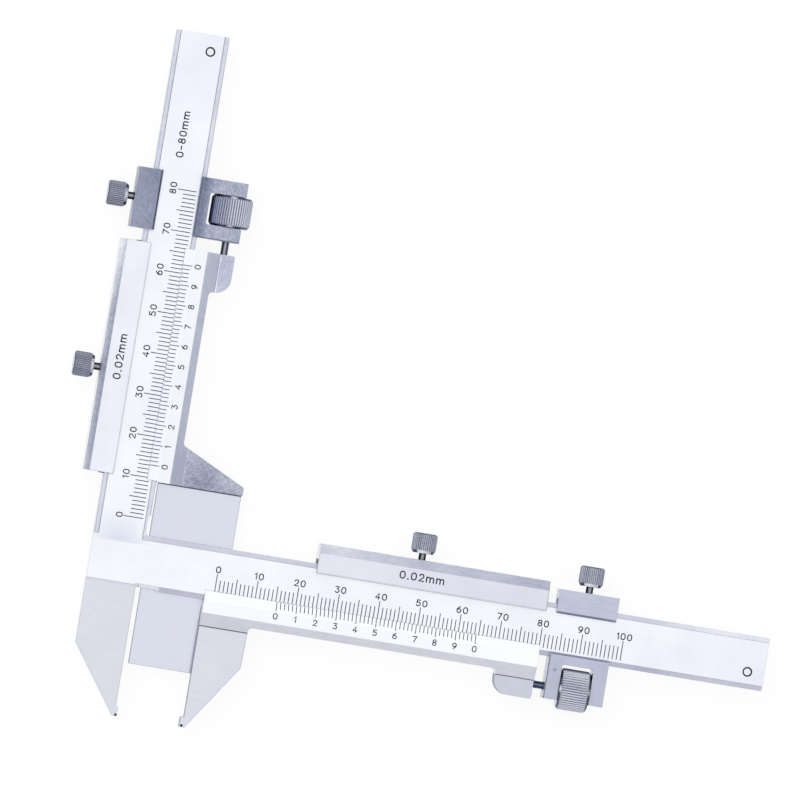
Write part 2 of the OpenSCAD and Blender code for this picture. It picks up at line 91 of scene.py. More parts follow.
# Slack where a face is told by its height
SLACK = 0.05


class Beam(Enum):
    """The two graduated beams, by the prefix of their nodes' names."""

    CHORDAL = "h"
    HEIGHT = "v"

    def matrix(self) -> Matrix:
        """Beam's own frame (across, along, out) in millimetres to the row frame in metres.

        Returns:
            The transform.
        """
        turn = -math.pi / 2 if self is Beam.CHORDAL else 0.0
        return (
            Matrix.Scale(MM, 4)
            @ Matrix.Translation(-ROW_ORIGIN)
            @ Matrix.Rotation(turn, 4, "Z")
        )


class Facing(Enum):
    """Which way a run of marks grows across its beam."""

    FROM_NUT_SIDE = -1
    TO_NUT_SIDE = 1


def linear(colour: str) -> tuple[float, float, float, float]:
    """Turns an sRGB hex value into linear light.

    Args:
        colour: six hex digits.

    Returns:
        Red, green, blue and an alpha of one.
    """
    channels = [int(colour[i : i + 2], 16) / 255 for i in (0, 2, 4)]
    return (
        *(c / 12.92 if c <= 0.04045 else ((c + 0.055) / 1.055) ** 2.4 for c in channels),
        1.0,
    )


def add(tree: Tree, kind: str, inputs: dict | None = None, **settings: object) -> bpy.types.Node:
    """Adds one node with its settings and links.

    Args:
        tree: the shader or geometry tree.
        kind: the node's type name.
        inputs: socket name or number to a constant or to an output socket of another node.
        **settings: the node's own properties.

    Returns:
        The new node.
    """
    node = tree.nodes.new(kind)
    for name, value in settings.items():
        setattr(node, name, value)
    for key, value in (inputs or {}).items():
        socket = node.inputs[key]
        if isinstance(value, Socket):
            tree.links.new(value, socket)
        else:
            socket.default_value = value
    return node


class Run(Enum):
    """What a change of tone runs along: a drawing axis, or how far up the face looks."""

    X = "X"
    Y = "Y"
    # how far up a face looks: fades along it paint shade and highlight by the way a face is turned
    UP = "N"


@dataclass(frozen=True)
class Fade:
    """A change of tone over a surface, the tint multiplying the tone from end on.

    Along X or Y it is placed in the drawing frame, in millimetres, and a mirrored one runs
    beside both edges of its beam. Run.UP goes from 1 on a level face to 0 on an upright one.
    """

    run: Run
    start: float
    end: float
    tint: str
    mirrored: bool = False


@dataclass(frozen=True)
class Spot:
    """A round mark on a face, placed in the drawing frame, in millimetres.

    Its rim is soft. Where a lowest Y is given, nothing of it lies below.
    """

    x: float
    y: float
    radius: float
    tint: str
    soft: float
    lowest: float | None = None


@dataclass(frozen=True)
class Metal:
    """A metal surface with an isotropic grain or with grinding streaks.

    The pattern's sizes are in millimetres: grain across a streak, length along it, depth down. A
    streak runs at angle degrees from +X in the XY plane. Cloud is the share of a slow change of
    tone. Painted shade, in the colour oil, lies within crease of a corner, where less of
    the sky than clean is open. Edges are rounded in the shading to the radius broken, and
    a painted line in the colour edge runs along them, light on some finishes and dark on others.
    A recipe without a name is only there to make others.
    """

    name: str = ""
    colour: str = ""
    dark: str = ""
    roughness: float = 0.36
    grain: float = 0.3
    length: float = 3.0
    angle: float = 0.0
    depth: float = 0.002
    contrast: float = 1.0
    fades: tuple[Fade, ...] = ()
    spots: tuple[Spot, ...] = ()
    cloud: float = 0.5
    # painted shade in the corners: its reach, the open sky at which it is full and none, and its
    # colour
    crease: float = 0.4
    clean: tuple[float, float] = (0.42, 0.86)
    oil: str = "3a3f4e"
    # rounded edges, with a painted line in the edge colour: light on some finishes, dark on others
    broken: float = 0.12
    edge: str = "d4d8e2"

    # the slow change of tone, in millimetres from patch to patch
    CLOUD_SIZE: ClassVar[float] = 9.0
    # the two tones lie this far from the noise's middle, where the contrast is one
    SPREAD: ClassVar[float] = 0.3
    # nearly all of the streaks' noise lies between these
    NOISE: ClassVar[tuple[float, float]] = (0.3, 0.7)
    # roughness of the smoothest and of the roughest streaks, against the surface's own
    SMOOTHEST: ClassVar[float] = -0.05
    ROUGHEST: ClassVar[float] = 0.07
    # cosine between the rounded and the true normal, where the painted edge line starts
    # and where it is full
    WEAR: ClassVar[tuple[float, float]] = (0.995, 0.8)
    # a spot's straight lower side is this soft to each side, in millimetres
    CUT_OFF: ClassVar[float] = 0.1

    def like(self, name: str, colour: str, dark: str, **changes: object) -> "Metal":
        """The same way of finishing under its own name, in its own two tones."""
        return replace(self, name=name, colour=colour, dark=dark, **changes)

    def _coordinate(self, tree: Tree, place: Socket, axis: str) -> Socket:
        """One coordinate of the surface in the drawing frame, in millimetres.

        Args:
            tree: the material's tree.
            place: Object coordinates.
            axis: X, Y or Z.

        Returns:
            The coordinate.
        """
        metres = add(tree, "ShaderNodeSeparateXYZ", {0: place}).outputs[axis]
        inputs = {0: metres, 1: 1 / MM, 2: ROW_ORIGIN["XYZ".index(axis)]}
        return add(tree, "ShaderNodeMath", inputs, operation="MULTIPLY_ADD").outputs[0]

    def _layer(
        self,
        tree: Tree,
        tone: object,
        tint: object,
        value: Socket,
        ends: tuple[float, float],
        blend: str = "MIX",
        within: Socket | None = None,
    ) -> Socket:
        """Lays a tint over a tone, by a value that says where.

        Args:
            tree: the material's tree.
            tone: what lies below.
            tint: what is laid over it.
            value: the value that says where.
            ends: the value at which nothing is laid, and the one at which all of it is.
            blend: the way of mixing the two.
            within: a further share of the tint.

        Returns:
            The tone with the tint on it.
        """
        inputs = {"Value": value, "From Min": ends[0], "From Max": ends[1]}
        share = add(tree, "ShaderNodeMapRange", inputs).outputs[0]
        if within is not None:
            inputs = {0: share, 1: within}
            share = add(tree, "ShaderNodeMath", inputs, operation="MULTIPLY").outputs[0]
        inputs = {0: share, COLOUR_A: tone, COLOUR_B: tint}
        mixed = add(tree, "ShaderNodeMix", inputs, data_type="RGBA", blend_type=blend)
        return mixed.outputs[COLOUR_OUT]

    def _faded(self, tree: Tree, place: Socket, facing: Socket, tone: Socket) -> Socket:
        """Lays the slow changes of tone over the pattern.

        Args:
            tree: the material's tree.
            place: Object coordinates.
            facing: the normal, rounded over the edges.
            tone: the pattern.

        Returns:
            The tone with its changes.
        """
        for fade in self.fades:
            if fade.run is Run.UP:
                value = add(tree, "ShaderNodeSeparateXYZ", {0: facing}).outputs["Z"]
            else:
                value = self._coordinate(tree, place, fade.run.value)
            if fade.mirrored:
                value = add(tree, "ShaderNodeMath", {0: value}, operation="ABSOLUTE").outputs[0]
            ends = (fade.start, fade.end)
            tone = self._layer(tree, tone, linear(fade.tint), value, ends, "MULTIPLY")
        return tone

    def _spotted(self, tree: Tree, place: Socket, tone: Socket) -> Socket:
        """Lays the round marks over the pattern.

        Args:
            tree: the material's tree.
            place: Object coordinates.
            tone: the pattern.

        Returns:
            The tone with the marks on it.
        """
        for spot in self.spots:
            x, y = (self._coordinate(tree, place, axis) for axis in "XY")
            flat = add(tree, "ShaderNodeCombineXYZ", {"X": x, "Y": y}).outputs[0]
            inputs = {0: flat, 1: (spot.x, spot.y, 0.0)}
            away = add(tree, "ShaderNodeVectorMath", inputs, operation="DISTANCE").outputs["Value"]
            above = None
            if spot.lowest is not None:
                low, high = spot.lowest - self.CUT_OFF, spot.lowest + self.CUT_OFF
                inputs = {"Value": y, "From Min": low, "From Max": high}
                above = add(tree, "ShaderNodeMapRange", inputs).outputs[0]
            ends = (spot.radius + spot.soft / 2, spot.radius - spot.soft / 2)
            tone = self._layer(tree, tone, linear(spot.tint), away, ends, "MULTIPLY", above)
        return tone

    def _streaks(self, tree: Tree, place: Socket) -> Socket:
        """Noise drawn out along the grinding, one grain across and one streak's length along.

        Args:
            tree: the material's tree.
            place: Object coordinates.

        Returns:
            The noise, from 0 to 1.
        """
        inputs = {"Vector": place, "Rotation": (0.0, 0.0, -math.radians(self.angle))}
        turned = add(tree, "ShaderNodeMapping", inputs).outputs[0]
        across = 1 / (self.grain * MM)
        inputs = {"Vector": turned, "Scale": (1 / (self.length * MM), across, across)}
        fine = add(tree, "ShaderNodeMapping", inputs).outputs[0]
        inputs = {"Vector": fine, "Scale": 1.0, "Detail": 3.0, "Roughness": 0.6}
        return add(tree, "ShaderNodeTexNoise", inputs).outputs["Fac"]

    def _pattern(self, tree: Tree, place: Socket, streaks: Socket) -> Socket:
        """The streaks in two tones, with a slow change of tone under them.

        Args:
            tree: the material's tree.
            place: Object coordinates.
            streaks: the noise of the grinding.

        Returns:
            The colour.
        """
        inputs = {"Vector": place, "Scale": 1 / (self.CLOUD_SIZE * MM), "Detail": 2.0}
        cloud = add(tree, "ShaderNodeTexNoise", inputs).outputs["Fac"]
        inputs = {0: cloud, 1: self.cloud, 2: streaks}
        mixed = add(tree, "ShaderNodeMath", inputs, operation="MULTIPLY_ADD").outputs[0]
        middle = 0.5 + 0.5 * self.cloud
        swing = self.SPREAD / self.contrast
        ends = (middle - swing, middle + swing)
        return self._layer(tree, linear(self.dark), linear(self.colour), mixed, ends)

    def build(self) -> bpy.types.Material:
        """Makes the material, with its pattern on Object coordinates.

        Returns:
            The material.
        """
        material = bpy.data.materials.new(self.name)
        material.use_nodes = True
        tree = material.node_tree
        tree.nodes.clear()
        place = add(tree, "ShaderNodeTexCoord").outputs["Object"]
        streaks = self._streaks(tree, place)
        tone = self._pattern(tree, place, streaks)
        rounded = add(tree, "ShaderNodeBevel", {"Radius": self.broken * MM}, samples=4).outputs[0]
        tone = self._spotted(tree, place, self._faded(tree, place, rounded, tone))
        # every edge is rounded in the shading and carries a painted line in the edge colour,
        # light as a painted highlight on some finishes and dark as painted shade on others
        facing = add(tree, "ShaderNodeNewGeometry").outputs["True Normal"]
        inputs = {0: rounded, 1: facing}
        agree = add(tree, "ShaderNodeVectorMath", inputs, operation="DOT_PRODUCT").outputs["Value"]
        tone = self._layer(tree, tone, linear(self.edge), agree, self.WEAR)
        if self.crease:
            # painted shade: corners where little of the sky is open are darkened,
            # so a thin dark line runs along every joint
            inputs = {"Distance": self.crease * MM}
            sky = add(tree, "ShaderNodeAmbientOcclusion", inputs, samples=6).outputs["AO"]
            tone = self._layer(tree, linear(self.oil), tone, sky, self.clean)
        inputs = {
            "Value": streaks,
            "From Min": self.NOISE[0],
            "From Max": self.NOISE[1],
            "To Min": self.roughness + self.SMOOTHEST,
            "To Max": self.roughness + self.ROUGHEST,
        }
        rough = add(tree, "ShaderNodeMapRange", inputs).outputs[0]
        inputs = {"Height": streaks, "Strength": 1.0, "Distance": self.depth * MM}
        inputs["Normal"] = rounded
        bump = add(tree, "ShaderNodeBump", inputs).outputs[0]
        inputs = {"Base Color": tone, "Metallic": 1.0, "Roughness": rough, "Normal": bump}
        shader = add(tree, "ShaderNodeBsdfPrincipled", inputs)
        add(tree, "ShaderNodeOutputMaterial", {"Surface": shader.outputs[0]})
        return material


@dataclass(frozen=True)
class Enamel:
    """Dark stoving enamel rubbed into the engraving: matt, a little uneven where it was wiped."""

    name: str
    colour: str
    worn: str
    roughness: float = 0.55
    # wiping leaves patches about this far across, in millimetres
    patch: float = 0.6

    def build(self) -> bpy.types.Material:
        """Makes the material, with its patches on Object coordinates.

        Returns:
            The material.
        """
        material = bpy.data.materials.new(self.name)
        material.use_nodes = True
        tree = material.node_tree
        tree.nodes.clear()
        place = add(tree, "ShaderNodeTexCoord").outputs["Object"]
        inputs = {"Vector": place, "Scale": 1 / (self.patch * MM), "Detail": 2.0}
        patch = add(tree, "ShaderNodeTexNoise", inputs).outputs["Fac"]
        inputs = {0: patch, COLOUR_A: linear(self.colour), COLOUR_B: linear(self.worn)}
        tone = add(tree, "ShaderNodeMix", inputs, data_type="RGBA").outputs[COLOUR_OUT]
        inputs = {
            "Base Color": tone,
            "Roughness": self.roughness,
            "IOR": 1.5,
            "Specular IOR Level": 0.2,
        }
        shader = add(tree, "ShaderNodeBsdfPrincipled", inputs)
        add(tree, "ShaderNodeOutputMaterial", {"Surface": shader.outputs[0]})
        return material


Recipes = dict[str, Metal | Enamel]


class Finishes:
    """Every finish of the instrument, built once when it is first asked for."""

    def __init__(self) -> None:
        """Collects the recipes, with nothing built yet."""
        self.recipes: Recipes = {
            **self._plated(),
            **self._sliders(),
            **self._strips(),
            **self._jaws(),
            **self._clamps(),
            **self._plain_sides(),
            **self._knurled(),
            **self._small_parts(),
        }
        self._made: dict[str, bpy.types.Material] = {}

    def get(self, name: str) -> bpy.types.Material:
        """The material of that name, made when it is first needed.

        Args:
            name: the recipe's name.

        Returns:
            The material.
        """
        if name not in self._made:
            self._made[name] = self.recipes[name].build()
        return self._made[name]

    @staticmethod
    def _plated() -> Recipes:
        """Satin chrome plate over a blasted surface: very pale, slightly blue, no direction.

        Returns:
            The recipes by name.
        """
        satin = Metal(roughness=0.36, grain=0.35, length=0.35, depth=0.0015, crease=0.0)
        return {
            "land": satin.like(
                "satin_chrome_land", "f7f9fd", "eceff7", roughness=0.34, crease=0.14, cloud=1.0,
                fades=(Fade(Run.X, 118.0, 150.0, "f9f9fd"), Fade(Run.Y, 95.0, 120.0, "fbfbfe")),
                spots=(Spot(0.5, 4.1, 5.0, "ebedf4", 7.0, 4.1),),
            ),
            "h_vernier": satin.like("satin_chrome_chordal_vernier", "feffff", "f6f9fd"),
            "h_flat": satin.like(
                "satin_chrome_chordal_flat", "fdfeff", "f6f9fd", roughness=0.34,
                fades=(Fade(Run.X, 98.0, 88.0, "fafafc"),),
            ),
            "v_vernier": satin.like("satin_chrome_height_vernier", "f6f7fc", "e9edf6"),
            "v_flat": satin.like("satin_chrome_height_flat", "f7f8fd", "eaedf4"),
        }

    @staticmethod
    def _sliders() -> Recipes:
        """The sliders' rails, bands and narrow faces, surface ground along them and plated.

        Returns:
            The recipes by name.
        """
        rail = Metal(roughness=0.38, grain=0.3, length=6.0, crease=0.15, cloud=1.0)
        chamfer = Metal(roughness=0.34, grain=0.35, length=1.6, crease=0.15)
        band = Metal(roughness=0.36, grain=0.3, length=2.0, crease=0.2)
        return {
            "h_rail": rail.like(
                "ground_chordal_rail", "e8ebf4", "dfe2ed", edge="8a90a6", broken=0.4,
                fades=(Fade(Run.X, 50.0, 100.0, "f6f5f8"),),
            ),
            "v_rail": rail.like(
                "ground_height_rail", "eff2f9", "e5e8f2", angle=90.0, edge="a4aabd", broken=0.3
            ),
            # the rails' chamfers catch the dark side of the room
            "h_rail_bevel": chamfer.like(
                "ground_chordal_chamfer", "dee0ea", "c0c3d1", contrast=1.4,
                fades=(Fade(Run.X, 50.0, 102.0, "dadce6"),),
            ),
            "v_rail_bevel": chamfer.like(
                "ground_height_chamfer", "ffffff", "ccd0de", length=1.0, angle=90.0,
                contrast=2.0, edge="7a8096",
                fades=(Fade(Run.Y, 76.0, 55.0, "c6c8d2"), Fade(Run.X, -11.2, -10.4, "dde1ea")),
            ),
            # the bands run down to jaw, lug and wing
            "h_band": band.like("ground_chordal_band", "f0f1f9", "e1e3f2"),
            "v_band": band.like(
                "ground_height_band", "dfe4f5", "c9d0e4", length=1.2, angle=90.0, edge="a4aac0",
                contrast=1.3, fades=(Fade(Run.Y, 40.0, 25.0, "f2f2f6"),),
            ),
            # the small step where the chordal slider's band ends lies in shade
            "step": band.like(
                "shaded_step", "6b7289", "5a617a", length=3.0, crease=0.0, edge="6b7289"
            ),
            # the edges of the windows over the scales are broken and plated with them
            "lip": band.like(
                "plated_window_edge", "fafbfe", "f0f2f8", roughness=0.4, length=3.0, crease=0.0
            ),
        }

    @staticmethod
    def _strips() -> Recipes:
        """Ground strips beside the lands: the wheel crossed them at a slant.

        Returns:
            The recipes by name.
        """
        strip = Metal(
            roughness=0.36, grain=0.28, length=0.8, angle=35.0, contrast=1.3, crease=0.15
        )
        return {
            "h_strip": strip.like(
                "ground_chordal_strip", "eff0f8", "d3d5e3",
                fades=(Fade(Run.X, 146.0, 132.0, "e6e7ed"),),
            ),
            "h_low_strip": strip.like(
                "ground_lower_strip", "f6f8fc", "dcdee6", crease=0.0,
                fades=(Fade(Run.X, 11.0, 11.5, "d4d3de"), Fade(Run.X, 146.0, 132.0, "f2f2f6")),
            ),
            "v_strip": strip.like(
                "ground_height_strip", "e3e6f0", "c5c9d7", length=1.4, angle=80.0,
                # painted shade: a darker line beside the step up to the land and another along the
                # beam's outer edge
                fades=(
                    Fade(Run.X, 5.62, 5.34, "c2c6d4", mirrored=True),
                    Fade(Run.X, 6.22, 6.48, "cfd2de", mirrored=True),
                ),
            ),
        }

    @staticmethod
    def _jaws() -> Recipes:
        """Jaws, tongue, wing and lugs, drawn over a wheel along the chordal beam.

        The real lines are 0.05 mm apart and are drawn 0.25 mm apart, so that they show.

        Returns:
            The recipes by name.
        """
        jaw = Metal(roughness=0.36, grain=0.25, length=4.0, depth=0.003, broken=0.25)
        lug = Metal(roughness=0.36, grain=0.4, length=1.2, depth=0.003, crease=0.2)
        return {
            "fixed_jaw": jaw.like(
                "ground_fixed_jaw", "e0e1eb", "d3d5e0", crease=0.0, edge="929bad",
                # painted shade: a dark spot at the tip's lower corner
                spots=(Spot(5.95, -37.47, 0.34, "22273a", 0.2),),
            ),
            "jaw": jaw.like(
                "ground_jaw", "e0e1eb", "d3d5e0", crease=0.2, edge="5a6678",
                # painted shade: a dark spot at the tip's lower corner
                spots=(Spot(22.12, -37.47, 0.34, "22273a", 0.2),),
            ),
            # the blend from land to fixed jaw, ground bright
            "blend": Metal(
                "ground_blend", "f8f7ff", "f2f1ff", roughness=0.75, grain=0.3, length=3.0,
                crease=0.0, broken=0.03,
            ),
            "tongue": Metal(
                "ground_tongue", "d9dbe8", "d4d7e4", roughness=0.2, grain=0.3, length=8.0,
                depth=0.001, crease=0.2, edge="757e94", broken=0.25,
                # painted shadow: a dark line on the tongue just under the wing's lower edge
                fades=(Fade(Run.Y, 19.3, 19.5, "4a5068"),),
            ),
            "wing": lug.like(
                "ground_wing", "eaebf2", "aaaec0", roughness=0.34, length=0.7, angle=18.0,
                depth=0.004, contrast=1.5, crease=0.0, cloud=0.8, edge="6c7288", broken=0.25,
                fades=(Fade(Run.X, 12.9, 13.05, "d6d8e1"), Fade(Run.X, 26.0, 16.0, "f2f3f7")),
            ),
            "h_lug": lug.like("ground_chordal_lug", "d4d6e2", "c3c6d5", cloud=0.8),
            "v_lug": lug.like(
                "ground_height_lug", "ffffff", "d6dae8", grain=0.45, length=0.7, angle=80.0,
                depth=0.004, contrast=1.5, crease=0.0,
                fades=(Fade(Run.X, 13.1, 13.2, "d0d3e0"),),
            ),
        }

    @staticmethod
    def _clamps() -> Recipes:
        """Clamps: bare ground steel, darker than the plated parts, crossed at a slant.

        Returns:
            The recipes by name.
        """
        crossed = Metal(roughness=0.36, grain=0.3, length=0.9, angle=-46.0, depth=0.004)
        side = Metal(roughness=0.34, grain=0.28, length=5.0, depth=0.003, crease=0.2)
        return {
            "h_clamp": crossed.like(
                "ground_chordal_clamp", "c2c7d8", "b1b6c9", length=1.0, depth=0.003, cloud=0.8,
                # painted shade: a dark band at the clamp's left end
                edge="f2f4f9", broken=0.3, fades=(Fade(Run.X, 107.82, 107.6, "40455a"),),
                spots=(Spot(109.25, -9.5, 0.35, "c3c7d3", 0.6),),
            ),
            "h_clamp_lock": crossed.like(
                "ground_chordal_clamp_lock", "c9cede", "b4b9cd", length=3.0, angle=0.0, depth=0.003
            ),
            "v_clamp": crossed.like(
                "ground_height_clamp", "bcc1d2", "8c92a9", contrast=1.6,
                # the first fade is painted shade, a dark line along the clamp's lower end
                fades=(Fade(Run.Y, 80.0, 79.75, "8f95aa"), Fade(Run.X, 8.6, 6.6, "c2c5d0")),
            ),
            "v_clamp_lock": crossed.like(
                "ground_height_clamp_lock", "a0a5bb", "7b8199", contrast=1.4
            ),
            "h_clamp_side": side.like("ground_chordal_clamp_side", "dfe3ee", "cdd2e0"),
            "v_clamp_side": side.like("ground_height_clamp_side", "a9aec2", "8f95a8"),
            "h_clamp_bevel": side.like(
                "shaded_chordal_bevel", "a4abc0", "8d94ac", depth=0.002, crease=0.0
            ),
            "v_clamp_bevel": side.like(
                "shaded_height_bevel", "7e859e", "6b728c", depth=0.002, crease=0.0
            ),
        }

    @staticmethod
    def _plain_sides() -> Recipes:
        """Backs and sides that nobody polished: milled, then plated, some painted dark as shade.

        Returns:
            The recipes by name.
        """
        side = Metal(
            "milled_side", "f2f4f9", "e4e7ef", roughness=0.36, grain=0.3, length=10.0,
            depth=0.003, crease=0.2,
        )
        return {
            "side": side,
            # painted shade on narrow sides: the jaws' inner edges and tips and the tongue's sides
            "dark_side": side.like("shaded_side", "868ca2", "767c93", edge="8a90a6"),
            # painted shade in the countersinks round the stop pins
            "sink": Metal(
                "dark_countersink", "31344a", "23263a", roughness=0.4, grain=0.3, length=0.3,
                edge="6a6e80",
            ),
            "back": Metal(
                "milled_back", "d3d6df", "c2c5d1", roughness=0.38, grain=0.4, length=14.0,
                angle=90.0, depth=0.003,
            ),
        }

    @staticmethod
    def _knurled() -> Recipes:
        """Turned and knurled steel: crests with painted highlights, grooves with painted shade.

        It is painted darker to the sides, for the metal beside them that they mirror. The chamfers
        have one painted glint on top and painted dark reflections beside it.

        Returns:
            The recipes by name.
        """
        # the crests' edges carry a painted white highlight
        knurl = Metal(roughness=0.22, grain=0.25, length=2.0, depth=0.004, edge="ffffff")
        turned = Metal(
            roughness=0.14, grain=0.25, length=0.8, depth=0.001, crease=0.3, oil="161a2c"
        )
        return {
            "nut": knurl.like(
                "knurled_nut", "e3e6f1", "bbc0d2", crease=0.35, clean=(0.58, 0.98),
                oil="20243a", broken=0.08,
                fades=(
                    # painted shade on the sides that look away from the sky, and on the height
                    # nut's left beside the fork's wall
                    Fade(Run.UP, 0.5, 0.05, "7a7e94"),
                    Fade(Run.X, 60.0, 50.0, "f5f7fc"),
                    Fade(Run.X, 13.2, 9.5, "9ba1b7"),
                ),
            ),
            "head": knurl.like(
                "knurled_head", "c2c6d5", "9ca1b5", roughness=0.24, crease=0.32,
                clean=(0.68, 1.0), oil="14182a", broken=0.06,
                # the first fade is painted shade on the sides that look away from the sky
                fades=(Fade(Run.UP, 0.72, 0.42, "3a3f52"), Fade(Run.X, 10.0, 0.0, "dddee3")),
            ),
            # painted glint on top of the chamfer toward the neck, painted shade beside it
            "head_end": turned.like(
                "turned_head_end", "f4f5fa", "e6e8f0", edge="7a7e92",
                fades=(Fade(Run.UP, 0.7, 0.66, "454a60"),),
            ),
            # painted shade: the outer chamfer is a dark copy of the turned steel toward the neck
            "head_top": Metal(
                "turned_head_top", "6e7388", "5a5f74", roughness=0.2, grain=0.25, length=0.8,
                depth=0.001, crease=0.0, edge="585d72",
            ),
            "head_face": Metal(
                "turned_head_face", "d2d5e0", "bcc0ce", roughness=0.24, grain=0.2, length=0.2,
                crease=0.0,
            ),
            # painted glint on top of the nut's chamfers, painted shade beside it
            "chamfer": turned.like(
                "polished_chamfer", "f6f7fc", "e8ebf4", roughness=0.12, edge="8a8ea2",
                fades=(Fade(Run.UP, 0.812, 0.79, "50556c"),),
            ),
            # painted shade to the sides of the neck, leaving a light line along its top
            "turned": Metal(
                "turned_neck", "a9abb6", "7f828e", roughness=0.2, grain=0.2, length=0.2,
                oil="10121a", edge="6a6e80", fades=(Fade(Run.UP, 0.99, 0.84, "14161f"),),
            ),
        }

    @staticmethod
    def _small_parts() -> Recipes:
        """Studs, pins, gibs and the fill of the engraving.

        Returns:
            The recipes by name.
        """
        # black oxide, with painted shade in the thread's roots; each stud is left bright along its
        # middle as a painted highlight, where the light runs along it, with painted shade to
        # either side
        thread = Metal(
            roughness=0.24, grain=0.25, length=0.6, depth=0.003, crease=0.1, oil="191c28",
            broken=0.02,
        )
        return {
            # painted shade along the top and bottom of the chordal stud
            "h_thread": thread.like(
                "black_oxide_chordal_thread", "a9afcc", "797e9a", edge="c0c4d2",
                fades=(Fade(Run.Y, -13.5, -13.1, "3a3d4e"), Fade(Run.Y, -14.0, -14.5, "4a4e60")),
            ),
            # painted shade along both sides of the height stud
            "v_thread": thread.like(
                "black_oxide_height_thread", "dde0ea", "a6aabc", edge="c8ccd8",
                fades=(Fade(Run.X, 13.5, 13.1, "262936"), Fade(Run.X, 14.0, 14.4, "303442")),
            ),
            "blued": Metal(
                "blued_screw_steel", "4c5268", "343848", roughness=0.26, grain=0.3, length=0.9,
                edge="8a90a6",
            ),
            "pin": Metal(
                "polished_pin_end", "f6f6fa", "e0e1e8", roughness=0.2, grain=0.3, length=0.3,
                depth=0.001, crease=0.1,
            ),
            # rolled strip, brown and oily
            "bronze": Metal(
                "oiled_bronze", "5c4f3f", "463d33", roughness=0.38, grain=0.25, length=6.0,
                depth=0.003, edge="7d6f5c",
            ),
            "ink": Enamel("engraving_enamel", "1a1c32", "2a2c46"),
            "ink_tick": Enamel("graduation_enamel", "1e2140", "2c3054"),
        }


def link(name: str, mesh: bpy.types.Mesh) -> bpy.types.Object:
    """Puts a mesh into the scene under a name, at the origin.

    Args:
        name: the object's name.
        mesh: its mesh.

    Returns:
        The object.
    """
    piece = bpy.data.objects.new(name, mesh)
    bpy.context.scene.collection.objects.link(piece)
    return piece


def mount(piece: bpy.types.Object, body: str) -> None:
    """Puts a piece on the body that it rides on.

    Args:
        piece: the finished piece.
        body: the body in the record.
    """
    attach(piece, body)
    log.info("%s on %s", piece.name, body)


class Faces:
    """The faces of one CAD node, sorted among finishes by where they lie and how they look.

    Places are millimetres and directions cosines, both in a beam's own frame: across the beam
    to its nut side, along it from the corner, and out of the graduated face.
    """

    def __init__(self, node: bpy.types.Object, beam: Beam, finish: str) -> None:
        """Measures the faces and gives them all one finish to start with.

        Args:
            node: the CAD node.
            beam: the beam whose frame the measures are in.
            finish: the finish of every face that is painted with no other.
        """
        self.node = node
        self.names = [finish]
        mesh = node.data
        count = len(mesh.polygons)
        self.choice = np.zeros(count, np.int32)
        centres = np.empty(count * 3, np.float32)
        normals = np.empty(count * 3, np.float32)
        mesh.polygons.foreach_get("center", centres)
        mesh.polygons.foreach_get("normal", normals)
        self.back = np.array(beam.matrix().inverted(), float)
        turn = np.array(beam.matrix().to_3x3().normalized().inverted(), float)
        self.across, self.along, self.out = self._own(centres).T
        self.side, self.ahead, self.up = (normals.reshape(-1, 3) @ turn.T).T

    def _own(self, points: np.ndarray) -> np.ndarray:
        """Turns the row frame's points into the beam's own frame."""
        return points.reshape(-1, 3) @ self.back[:3, :3].T + self.back[:3, 3]

    def reach(self, axis_out: float) -> np.ndarray:
        """Largest distance of each face's corners from the axis of a screw across the beam.

        Args:
            axis_out: the axis's height above the frame's back.

        Returns:
            One distance to a face.
        """
        points = np.empty(len(self.node.data.vertices) * 3, np.float32)
        self.node.data.vertices.foreach_get("co", points)
        points = self._own(points)
        middle = (points[:, 1].max() + points[:, 1].min()) / 2
        away = np.hypot(points[:, 1] - middle, points[:, 2] - axis_out)
        return np.array([away[list(face.vertices)].max() for face in self.node.data.polygons])

    def paint(self, where: np.ndarray, finish: str) -> None:
        """Gives the chosen faces a finish, in place of the one they had.

        Args:
            where: true for each of those faces.
            finish: the finish's name.
        """
        if finish not in self.names:
            self.names.append(finish)
        self.choice[where] = self.names.index(finish)

    def dress(self, finishes: Finishes) -> None:
        """Gives the node its material slots and each face one of them.

        Args:
            finishes: where the materials come from.
        """
        mesh = self.node.data
        mesh.materials.clear()
        for name in self.names:
            mesh.materials.append(finishes.get(name))
        mesh.polygons.foreach_set("material_index", self.choice)
        mesh.update()
        log.info("%s dressed in %s", self.node.name, ", ".join(self.names))


Stroke = list[tuple[float, float]]


